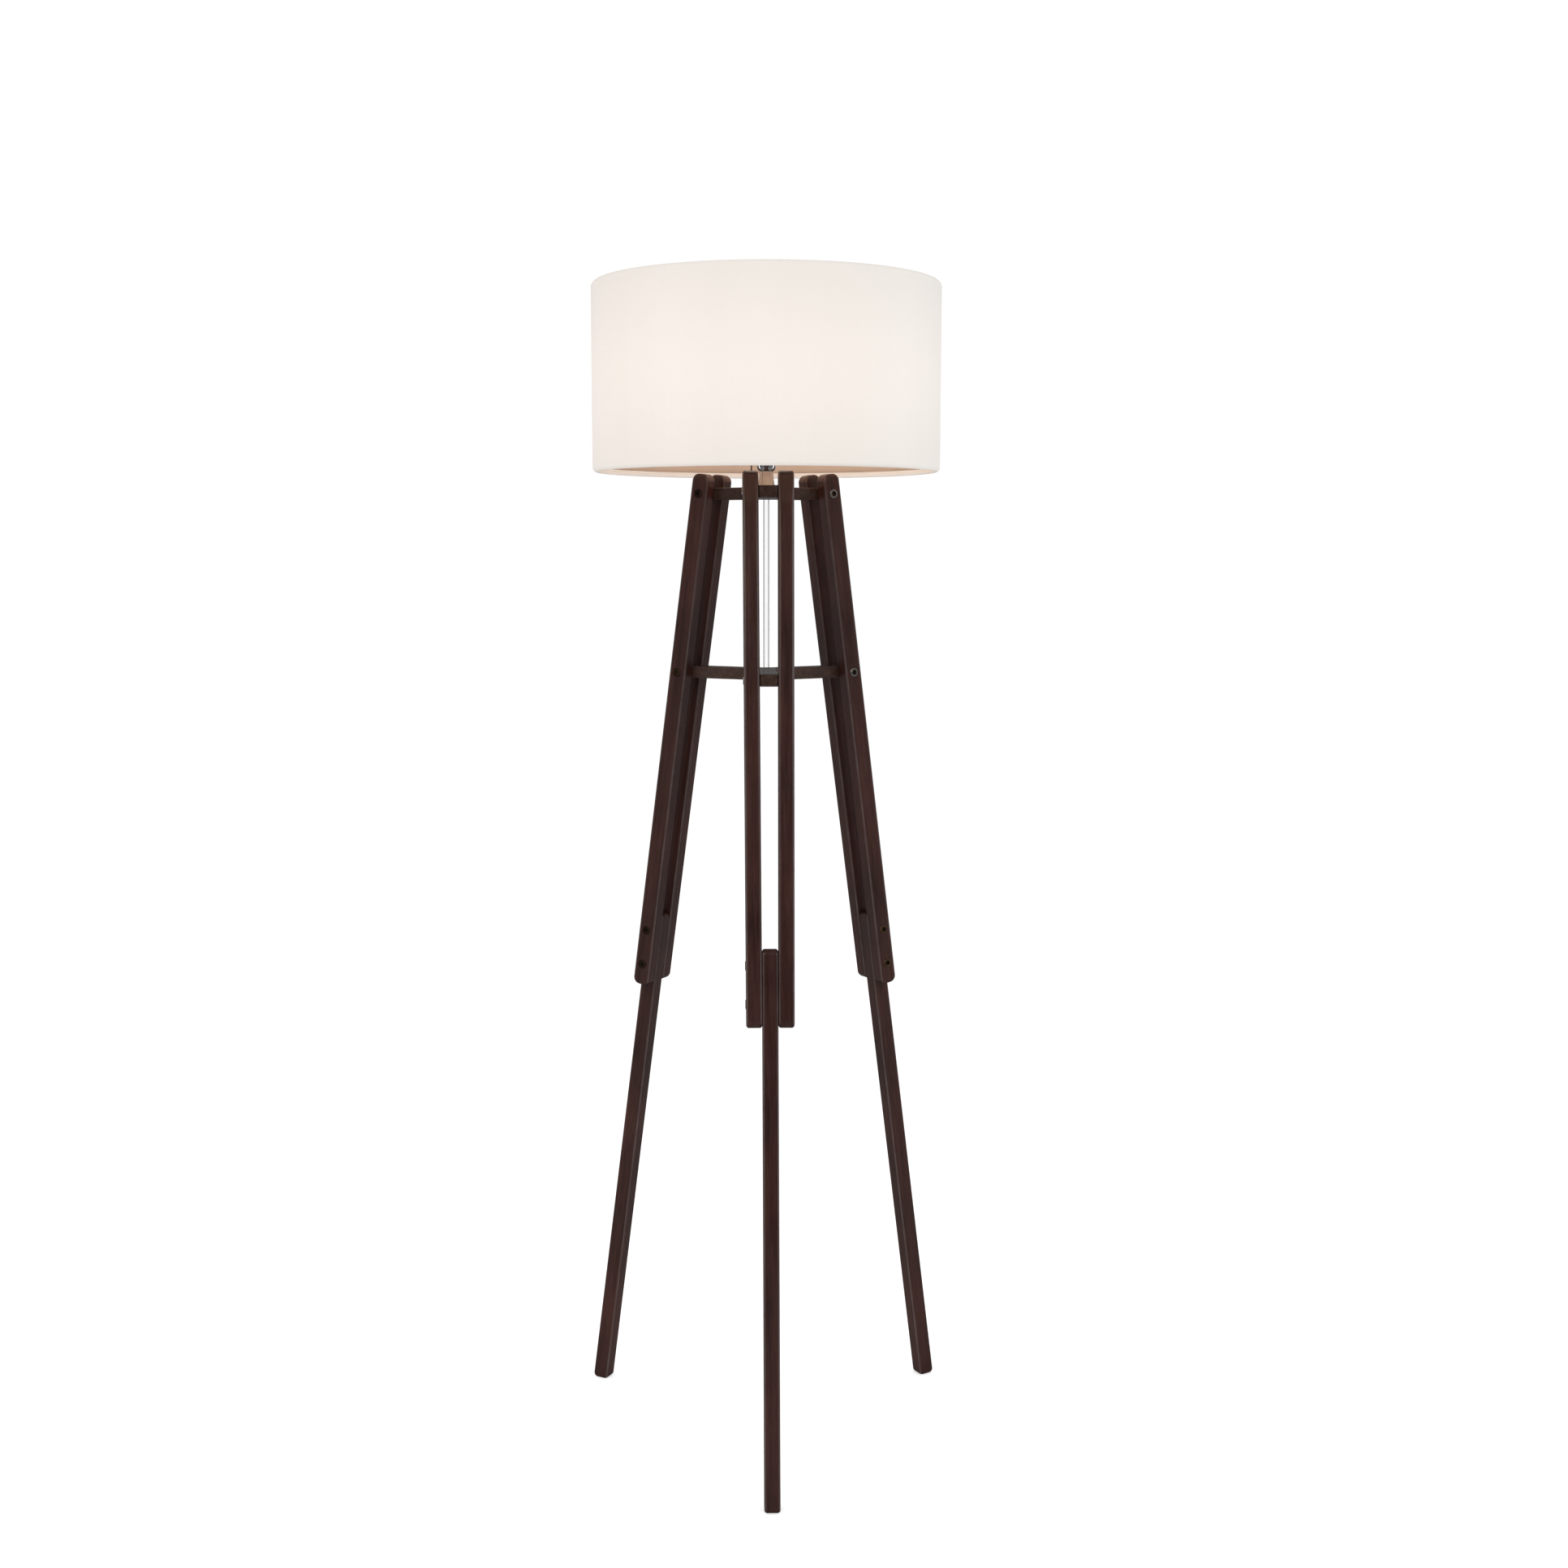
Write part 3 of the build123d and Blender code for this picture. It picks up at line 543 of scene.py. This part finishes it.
def clear_plastic():
    """Clear tube wall: almost invisible face on, with a painted grey line where it turns away for its edge
    reflection.
    """
    material, shader = new_material("clear_tube_plastic", IOR=1.46, Specular_IOR_Level=0.3)
    tree = material.node_tree
    place = add_node(tree, "ShaderNodeTexCoord")
    drawn = add_node(tree, "ShaderNodeMapping", [(place.outputs["Object"], "Vector")])
    drawn.inputs["Scale"].default_value = (1.0, 1.0, 0.02)
    lines = add_node(tree, "ShaderNodeTexNoise", [(drawn.outputs[0], "Vector")], Scale=900.0, Detail=2.0)
    rough = add_node(
        tree, "ShaderNodeMapRange", [(lines.outputs["Fac"], "Value")],
        From_Min=0.3, From_Max=0.7, To_Min=0.04, To_Max=0.12,
    )
    tone = two_tones(tree, lines.outputs["Fac"], (0.16, 0.165, 0.17, 1), (0.3, 0.3, 0.3, 1))
    # Painted edge line: opacity and grey tone rise where the wall turns away, standing in for light bent
    # and mirrored there.
    facing = add_node(tree, "ShaderNodeLayerWeight", Blend=0.5)
    painted_edge_line = add_node(
        tree, "ShaderNodeMapRange", [(facing.outputs["Facing"], "Value")],
        From_Min=0.3, From_Max=0.6, To_Min=0.03, To_Max=0.7,
    )
    join_up(tree, shader, Base_Color=tone, Roughness=rough.outputs[0], Alpha=painted_edge_line.outputs[0])
    return material


black_plastic = moulded("black_moulding", (0.02, 0.02, 0.021, 1), 0.42)
white_enamel = moulded("white_enamel", (0.82, 0.81, 0.78, 1), 0.3, pebble=0.08, scale=700.0)
dress(black_plastic, "socket_core", "clamp_ring")
dress(white_enamel, "shade_spider", "shade_ring_top", "shade_ring_bottom")
dress(clear_plastic(), "clear_tube")
print("plastics ready")

# %% [markdown]
# ## The lit bulb
# A frosted bulb glows most round its globe and less at its neck. The glass has its own glow, and a small
# warm light at the middle of the globe throws the light that the liner catches.

# %% Bulb
glass_low, glass_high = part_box("bulb_glass")
BULB_CENTRE = Vector((0.0, 0.0, glass_high.z - (glass_high.x - glass_low.x) / 2))


def frosted_glass():
    """Frosted glass that glows, more at the globe than at the neck."""
    material, shader = new_material("frosted_bulb", Roughness=0.5, Emission_Strength=2.2, IOR=1.5)
    tree = material.node_tree
    place = add_node(tree, "ShaderNodeTexCoord")
    height = add_node(tree, "ShaderNodeSeparateXYZ", [(place.outputs["Object"], 0)])
    share = add_node(
        tree, "ShaderNodeMapRange", [(height.outputs["Z"], "Value")],
        From_Min=glass_low.z, From_Max=BULB_CENTRE.z,
    )
    ramp = add_node(tree, "ShaderNodeValToRGB", [(share.outputs[0], "Fac")])
    ramp.color_ramp.elements[0].color = (0.45, 0.3, 0.18, 1)
    ramp.color_ramp.elements[1].color = (1.0, 0.86, 0.66, 1)
    frost = add_node(
        tree, "ShaderNodeTexNoise", [(place.outputs["Object"], "Vector")], Scale=1500.0, Detail=2.0,
    )
    bump = add_node(
        tree, "ShaderNodeBump", [(frost.outputs["Fac"], "Height")], Strength=0.1, Distance=0.0002,
    )
    glow = ramp.outputs["Color"]
    join_up(tree, shader, Emission_Color=glow, Base_Color=glow, Normal=bump.outputs[0])
    return material


dress(frosted_glass(), "bulb_glass")
print("bulb centre height, m:", round(BULB_CENTRE.z, 3))

# %% [markdown]
# ## The shade's cloth
# The cloth is one sheet. It wraps the outside of the stiff liner, rolls round the wire at each rim and is
# tucked in just behind it. Its section is drawn point by point and swept round the axis. That gives the
# rolled rims their true shape, and gives every point a place on the flat cloth.

# %% Section of the cloth
cloth_low, cloth_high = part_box("shade_hem_bottom")
rim_low = cloth_low.z
rim_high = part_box("shade_hem_top")[1].z
wire_low, wire_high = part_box("shade_ring_bottom")
CLOTH_THICKNESS = 0.0007
WIRE_RADIUS = (wire_high.z - wire_low.z) / 2
OUTER_RADIUS = cloth_high.x - CLOTH_THICKNESS / 2
WIRE_PATH = wire_high.x - WIRE_RADIUS
TUCK_RADIUS = WIRE_PATH + WIRE_RADIUS - CLOTH_THICKNESS / 2
TUCK_LENGTH = 0.003
TUCK_STEPS = 5
ROLL_STEP = 15
RIM_SOFTNESS = 0.0055
WALL_STEPS = 22


def rim_section(wire_z):
    """Points (radius, height) of the cloth round the bottom wire, from the tuck to the outer wall."""
    reach = WIRE_RADIUS + CLOTH_THICKNESS / 2
    base = wire_z - reach
    tuck_end = wire_z + WIRE_RADIUS + TUCK_LENGTH
    points = [(TUCK_RADIUS, tuck_end - step * TUCK_LENGTH / TUCK_STEPS) for step in range(TUCK_STEPS)]
    for degree in range(75, 271, ROLL_STEP):
        turn = math.radians(degree)
        points.append((WIRE_PATH + reach * math.cos(turn), wire_z + reach * math.sin(turn)))
    for degree in range(-90, 1, ROLL_STEP):
        turn = math.radians(degree)
        points.append((
            OUTER_RADIUS - RIM_SOFTNESS + RIM_SOFTNESS * math.cos(turn),
            base + RIM_SOFTNESS + RIM_SOFTNESS * math.sin(turn),
        ))
    return points


def cloth_section():
    """The whole section, from the bottom tuck over the outer wall to the top tuck."""
    bottom = rim_section(wire_low.z + WIRE_RADIUS)
    middle = (rim_low + rim_high) / 2
    top = [(radius, 2 * middle - height) for radius, height in reversed(bottom)]
    start, stop = bottom[-1][1], top[0][1]
    wall = [(OUTER_RADIUS, start + (stop - start) * step / WALL_STEPS) for step in range(1, WALL_STEPS)]
    return bottom + wall + top


section = cloth_section()
print("points in the section:", len(section))

# %% [markdown]
# ### Sweeping the section
# The swept sheet is never perfectly round. Slow waves of a fraction of a millimetre bend the light
# softly, and a glued overlap at the back stands a little proud. The UV map stores true metres along and
# up the cloth, so that the threads keep their size everywhere.

# %% Cloth mesh
SEAM_HEADING = math.radians(90)
SEAM_WIDTH = 0.013
SEAM_RISE = 0.00045
SEAM_EDGE = 0.0004
RIM_WAVE_SHARE = 0.35
WAVE_HEIGHT = 0.00022
COLUMNS = 288
WAVES = [(random.randint(3, 17), random.uniform(0, math.tau), random.uniform(-6, 6)) for _ in range(6)]


def unevenness(heading, height):
    """How far the cloth stands off a true cylinder at a place on its wall."""
    ripple = sum(math.sin(count * heading + phase + drift * height) for count, phase, drift in WAVES)
    across = (heading - SEAM_HEADING) * OUTER_RADIUS
    seam = SEAM_RISE if 0 <= across <= SEAM_WIDTH else 0.0
    return WAVE_HEIGHT * ripple / len(WAVES) + seam


def column_headings():
    """Headings of the mesh columns: even steps, with close pairs at both edges of the overlap."""
    edge = SEAM_EDGE / OUTER_RADIUS
    seam_end = SEAM_HEADING + SEAM_WIDTH / OUTER_RADIUS
    even = [SEAM_HEADING + edge + math.tau * step / COLUMNS for step in range(COLUMNS)]
    return sorted(even[:1] + [h for h in even[1:] if h > seam_end + 2 * edge] + [
        SEAM_HEADING - edge + math.tau, (SEAM_HEADING + seam_end) / 2, seam_end - edge, seam_end + edge,
    ])


def sweep_cloth(name, points, headings):
    """Sweeps the section round the axis as a closed sheet with UVs in metres."""
    mesh = bpy.data.meshes.new(name)
    build = bmesh.new()
    uv = build.loops.layers.uv.new("flat_cloth")
    runs = [0.0]
    for (r0, z0), (r1, z1) in zip(points, points[1:]):
        runs.append(runs[-1] + math.hypot(r1 - r0, z1 - z0))
    grid = []
    for heading in headings:
        column = []
        for radius, height in points:
            wave_share = 1.0 if radius >= OUTER_RADIUS - 1e-6 else RIM_WAVE_SHARE
            far = radius + unevenness(heading, height) * wave_share
            column.append(build.verts.new((far * math.cos(heading), far * math.sin(heading), height)))
        grid.append(column)
    for index, column in enumerate(grid):
        after = grid[(index + 1) % len(grid)]
        start = headings[index]
        stop = headings[index + 1] if index + 1 < len(grid) else headings[0] + math.tau
        for row in range(len(points) - 1):
            face = build.faces.new((column[row], after[row], after[row + 1], column[row + 1]))
            face.smooth = True
            places = ((start, row), (stop, row), (stop, row + 1), (start, row + 1))
            for loop, (heading, step) in zip(face.loops, places):
                loop[uv].uv = (heading * OUTER_RADIUS, runs[step])
    bmesh.ops.recalc_face_normals(build, faces=build.faces)
    build.to_mesh(mesh)
    build.free()
    return put_in_scene(name, mesh), runs[-1]


cover, section_length = sweep_cloth("shade_cover", section, column_headings())
print("faces in the cloth:", len(cover.data.polygons))

# %% [markdown]
# ### The lining, and the thickness of both sheets
# The stiff lining stands just inside the cloth and stops short of the rolled rims. The cloth is stretched
# over it, so the sheet's flat size is once round the drum plus the overlap, by the length of the section.

# %% Lining and thickness
LINING_SETBACK = 0.0042
LINING_STEPS = 24
LINING_THICKNESS = 0.0008
LINING_GAP = 0.0006
lining_low, lining_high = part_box("shade_liner")
LINING_RADIUS = OUTER_RADIUS - CLOTH_THICKNESS / 2 - SEAM_RISE - LINING_GAP
lining_start = lining_low.z + LINING_SETBACK
lining_rise = lining_high.z - lining_low.z - 2 * LINING_SETBACK
lining_section = [
    (LINING_RADIUS, lining_start + lining_rise * step / LINING_STEPS) for step in range(LINING_STEPS + 1)
]
lining, _ = sweep_cloth("shade_lining", lining_section, column_headings())


def thicken(piece, thickness):
    """Gives a thin sheet its thickness, half to each side."""
    layer = piece.modifiers.new("sheet_thickness", "SOLIDIFY")
    layer.thickness = thickness
    layer.offset = 0.0


thicken(lining, LINING_THICKNESS)
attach(lining, "shade")
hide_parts("shade_liner")

thicken(cover, CLOTH_THICKNESS)
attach(cover, "shade")
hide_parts("shade_fabric", "shade_hem_top", "shade_hem_bottom")

# %% [markdown]
# ### Off-white cotton
# Cloth needs three scales at once: threads that only show close by, slubs that run along them, and broad
# faint bands up the shade. Its glow is a faint emission that falls away above and below the bulb, which
# gives the lit look without waiting for light to filter through two layers.

# %% Cloth and liner materials
def glow_share(tree, reach, floor):
    """Value that is 1 at the bulb's height and falls to floor at reach above or below it."""
    place = add_node(tree, "ShaderNodeTexCoord")
    height = add_node(tree, "ShaderNodeSeparateXYZ", [(place.outputs["Object"], 0)])
    away = add_node(tree, "ShaderNodeMath", [(height.outputs["Z"], 0)], operation="SUBTRACT")
    away.inputs[1].default_value = BULB_CENTRE.z
    distance = add_node(tree, "ShaderNodeMath", [(away.outputs[0], 0)], operation="ABSOLUTE")
    share = add_node(
        tree, "ShaderNodeMapRange", [(distance.outputs[0], "Value")],
        From_Max=reach, To_Min=1.0, To_Max=floor, interpolation_type="SMOOTHSTEP",
    )
    return share.outputs[0]


def cotton():
    """Off-white woven cotton with slubs, faint upright bands and a warm glow."""
    material, shader = new_material(
        "off_white_cotton", Sheen_Weight=0.25, Sheen_Roughness=0.6, Specular_IOR_Level=0.2,
        Emission_Strength=0.18,
    )
    tree = material.node_tree
    flat = add_node(tree, "ShaderNodeUVMap", uv_map="flat_cloth")
    threads = put_group(tree, weave, flat.outputs[0], Threads=1350.0)
    banding = add_node(tree, "ShaderNodeMapping", [(flat.outputs[0], "Vector")])
    banding.inputs["Scale"].default_value = (9.0, 1.1, 1.0)
    bands = add_node(tree, "ShaderNodeTexNoise", [(banding.outputs[0], "Vector")], Scale=1.0, Detail=3.0)
    band_share = add_node(
        tree, "ShaderNodeMapRange", [(bands.outputs["Fac"], "Value")], From_Min=0.3, From_Max=0.7,
    )
    broad = two_tones(tree, band_share.outputs[0], (0.805, 0.785, 0.735, 1), (0.835, 0.815, 0.775, 1))
    slub_share = add_node(
        tree, "ShaderNodeMapRange", [(threads.outputs["Shade"], "Value")], To_Min=0.0, To_Max=0.3,
    )
    cloth = add_node(tree, "ShaderNodeMix", [(slub_share.outputs[0], 0), (broad, 6)], data_type="RGBA")
    cloth.inputs[7].default_value = (0.8, 0.77, 0.725, 1)
    rough = add_node(
        tree, "ShaderNodeMapRange", [(threads.outputs["Shade"], "Value")], To_Min=0.78, To_Max=0.92,
    )
    warm = two_tones(tree, glow_share(tree, 0.17, 0.35), (0.16, 0.1, 0.08, 1), (1.0, 0.74, 0.68, 1))
    fine = add_node(
        tree, "ShaderNodeBump", [(threads.outputs["Height"], "Height")], Strength=0.35, Distance=0.00025,
    )
    lumpy = add_node(
        tree, "ShaderNodeBump", [(threads.outputs["Slub"], "Height"), (fine.outputs[0], "Normal")],
        Strength=0.2, Distance=0.0004,
    )
    join_up(
        tree, shader, Base_Color=cloth.outputs[2], Roughness=rough.outputs[0], Emission_Color=warm,
        Normal=lumpy.outputs[0],
    )
    return material


def liner_plastic():
    """Styrene liner in a warm tan, partly its own cream and partly painted warm bulb light, brighter near
    the bulb.
    """
    material, shader = new_material("warm_liner", Specular_IOR_Level=0.3, Emission_Strength=0.12)
    tree = material.node_tree
    place = add_node(tree, "ShaderNodeTexCoord")
    worn = put_group(tree, wear, place.outputs["Object"], Cloud_Scale=14.0)
    clouds = worn.outputs["Clouds"]
    # The two tan tones are partly the liner's cream and partly painted warm light from the bulb; the clouds
    # between them are dust.
    tone = two_tones(tree, clouds, (0.57, 0.43, 0.34, 1), (0.53, 0.39, 0.3, 1))
    rough = add_node(tree, "ShaderNodeMapRange", [(clouds, "Value")], To_Min=0.42, To_Max=0.55)
    warm = two_tones(tree, glow_share(tree, 0.16, 0.25), (0.16, 0.09, 0.05, 1), (1.0, 0.72, 0.5, 1))
    skin = add_node(
        tree, "ShaderNodeTexNoise", [(place.outputs["Object"], "Vector")], Scale=420.0, Detail=3.0,
    )
    bump = add_node(
        tree, "ShaderNodeBump", [(skin.outputs["Fac"], "Height")], Strength=0.1, Distance=0.0003,
    )
    join_up(
        tree, shader, Base_Color=tone, Roughness=rough.outputs[0], Emission_Color=warm,
        Normal=bump.outputs[0],
    )
    return material


cover.data.materials.append(cotton())
lining.data.materials.append(liner_plastic())
print("cloth and liner ready")

# %% [markdown]
# ## The pull cord
# The cord is thin and limp, and only the knob's small weight straightens it, so it hangs with slight
# bends from the end of the switch rod to the top of the knob. It is one smooth NURBS line with a round
# section, and its braid is a fine diagonal relief.

# %% Cord
PULL_DIAMETER = 0.002
CORD_SWAYS = (
    (0.2368, -0.00136, -0.00044),
    (0.4912, -0.00147, -0.00076),
    (0.7544, -0.00027, -0.00017),
)
rod_end = middle_of("pull_plunger")
rod_end.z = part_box("pull_plunger")[0].z
knob_top = middle_of("pull_knob")
knob_top.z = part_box("pull_knob")[1].z


def cord_route():
    """Points from the rod to the knob, each swayed a little in X and Y at its share of the way down."""
    swayed = [rod_end.lerp(knob_top, share) + Vector((x, y, 0.0)) for share, x, y in CORD_SWAYS]
    return [rod_end, *swayed, knob_top]


def hanging_line(name, route, diameter):
    """Smooth round line through a route, free at neither end."""
    data = bpy.data.curves.new(name, "CURVE")
    data.dimensions = "3D"
    line = data.splines.new("NURBS")
    line.points.add(len(route) - 1)
    for point, place in zip(line.points, route):
        point.co = (*place, 1.0)
    line.order_u = 3
    line.use_endpoint_u = True
    line.resolution_u = 12
    data.bevel_depth = diameter / 2
    data.bevel_resolution = 5
    data.use_fill_caps = True
    return put_in_scene(name, data)


def braid():
    """Dark braided cord: two crossing sets of fine diagonal ridges."""
    material, shader = new_material("dark_braid", Sheen_Weight=0.3, Specular_IOR_Level=0.3)
    tree = material.node_tree
    place = add_node(tree, "ShaderNodeTexCoord")
    ridges = []
    for lean in (0.8, -0.8):
        turned = add_node(tree, "ShaderNodeMapping", [(place.outputs["Object"], "Vector")])
        turned.inputs["Rotation"].default_value = (lean, lean, 0.0)
        ridges.append(add_node(
            tree, "ShaderNodeTexWave", [(turned.outputs[0], "Vector")], Scale=420.0, Distortion=0.6,
        ))
    woven = add_node(
        tree, "ShaderNodeMath",
        [(ridges[0].outputs["Fac"], 0), (ridges[1].outputs["Fac"], 1)], operation="MAXIMUM",
    )
    tone = two_tones(tree, woven.outputs[0], (0.02, 0.011, 0.008, 1), (0.085, 0.048, 0.034, 1))
    rough = add_node(tree, "ShaderNodeMapRange", [(woven.outputs[0], "Value")], To_Min=0.85, To_Max=0.65)
    bump = add_node(tree, "ShaderNodeBump", [(woven.outputs[0], "Height")], Strength=0.5, Distance=0.0003)
    join_up(tree, shader, Base_Color=tone, Roughness=rough.outputs[0], Normal=bump.outputs[0])
    return material


pull_route = cord_route()
pull_line = hanging_line("pull_line", pull_route, PULL_DIAMETER)
pull_line.data.materials.append(braid())
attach(pull_line, "pull")
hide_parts("pull_cord")

# %% [markdown]
# ## Floor and surround
# A pale floor under an even white surround gives soft shadows and clean edges. Glossy dark wood turns
# grey when it mirrors white, so both are much darker in reflections than they are to the eye.

# %% Floor and surround
FLOOR_GLOW = 0.46
FLOOR_MIRRORED = (0.2, 0.2, 0.2, 1)


def pale_floor():
    """Large pale floor with faint mottling, brighter to the eye and darker in reflections."""
    mesh = bpy.data.meshes.new("studio_floor")
    build = bmesh.new()
    bmesh.ops.create_grid(build, x_segments=1, y_segments=1, size=40.0)
    build.to_mesh(mesh)
    build.free()
    piece = put_in_scene("studio_floor", mesh)
    material, shader = new_material("pale_floor", Roughness=0.9, Emission_Color=(1, 1, 1, 1))
    tree = material.node_tree
    place = add_node(tree, "ShaderNodeTexCoord")
    noise = add_node(tree, "ShaderNodeTexNoise", [(place.outputs["Object"], "Vector")], Scale=1.5)
    tone = two_tones(tree, noise.outputs["Fac"], (0.93, 0.93, 0.93, 1), (0.95, 0.95, 0.95, 1))
    path = add_node(tree, "ShaderNodeLightPath")
    mirrored = add_node(
        tree, "ShaderNodeMix", [(path.outputs["Is Glossy Ray"], 0), (tone, 6)], data_type="RGBA",
    )
    mirrored.inputs[7].default_value = FLOOR_MIRRORED
    seen = add_node(
        tree, "ShaderNodeMapRange", [(path.outputs["Is Camera Ray"], "Value")], To_Max=FLOOR_GLOW,
    )
    join_up(tree, shader, Base_Color=mirrored.outputs[2], Emission_Strength=seen.outputs[0])
    mesh.materials.append(material)


def white_surround(shown, lighting, mirrored):
    """White world with a brightness each for the eye, for the light it gives and for mirrors."""
    world = bpy.data.worlds.new("white_surround")
    bpy.context.scene.world = world
    world.use_nodes = True
    tree = world.node_tree
    background = tree.nodes["Background"]
    path = add_node(tree, "ShaderNodeLightPath")
    soft = add_node(
        tree, "ShaderNodeMapRange", [(path.outputs["Is Glossy Ray"], "Value")],
        To_Min=lighting, To_Max=mirrored,
    )
    level = add_node(
        tree, "ShaderNodeMapRange", [(path.outputs["Is Camera Ray"], "Value"), (soft.outputs[0], "To Min")],
        To_Max=shown,
    )
    background.inputs["Color"].default_value = (1, 1, 1, 1)
    tree.links.new(level.outputs[0], background.inputs["Strength"])


pale_floor()
white_surround(shown=1.05, lighting=0.66, mirrored=0.14)
print("floor and surround ready")

# %% [markdown]
# ## Lights
# Two broad lights, one a little warm and one a little cool, model the shade. Two tall strips at the sides
# draw a thin highlight down each leg. A dark card behind the camera shows only in reflections.

# %% Lights
LIGHT_AIM = Vector((0, 0, 1.0))
FLAG_AIM = Vector((0, 0, 0.9))
BULB_POWER = 0.6
BULB_SOFTNESS = 0.028


def soft_light(name, place, width, height, power, colour):
    """Area light that faces the upper part of the lamp."""
    data = bpy.data.lights.new(name, "AREA")
    data.shape = "RECTANGLE"
    data.size = width
    data.size_y = height
    data.energy = power
    data.color = colour
    light = put_in_scene(name, data)
    light.location = place
    light.rotation_euler = (LIGHT_AIM - Vector(place)).to_track_quat("-Z", "Y").to_euler()


def dark_flag(name, place, width, height, tone):
    """Card seen only by reflections, facing the lamp."""
    mesh = bpy.data.meshes.new(name)
    w, h = width / 2, height / 2
    mesh.from_pydata([(-w, -h, 0), (w, -h, 0), (w, h, 0), (-w, h, 0)], [], [(0, 1, 2, 3)])
    piece = put_in_scene(name, mesh)
    piece.location = place
    piece.rotation_euler = (FLAG_AIM - Vector(place)).to_track_quat("Z", "Y").to_euler()
    material, _ = new_material(name, Base_Color=(tone, tone, tone, 1), Roughness=1.0)
    mesh.materials.append(material)
    piece.visible_camera = False
    piece.visible_diffuse = False
    piece.visible_shadow = False
    piece.visible_transmission = False


soft_light("warm_key", (-1.7, -3.0, 2.7), 1.8, 1.8, 25.0, (1.0, 0.93, 0.86))
soft_light("cool_fill", (2.1, -2.8, 2.4), 1.8, 1.8, 20.0, (0.93, 0.98, 1.0))
soft_light("left_strip", (-2.3, 0.35, 1.1), 0.5, 2.6, 8.0, (1.0, 0.97, 0.94))
soft_light("right_strip", (2.3, 0.35, 1.1), 0.5, 2.6, 8.0, (0.96, 0.98, 1.0))
dark_flag("flag_front", (0.3, -5.0, 1.1), 5.0, 4.5, 0.03)
bulb_data = bpy.data.lights.new("bulb_light", "POINT")
bulb_data.energy = BULB_POWER
bulb_data.color = (1.0, 0.88, 0.78)
bulb_data.shadow_soft_size = BULB_SOFTNESS
bulb_light = put_in_scene("bulb_light", bulb_data)
bulb_light.location = BULB_CENTRE
bulb_light.visible_camera = False
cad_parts["bulb_glass"].visible_shadow = False
bpy.context.scene.view_settings.view_transform = "Standard"
print("lights ready")
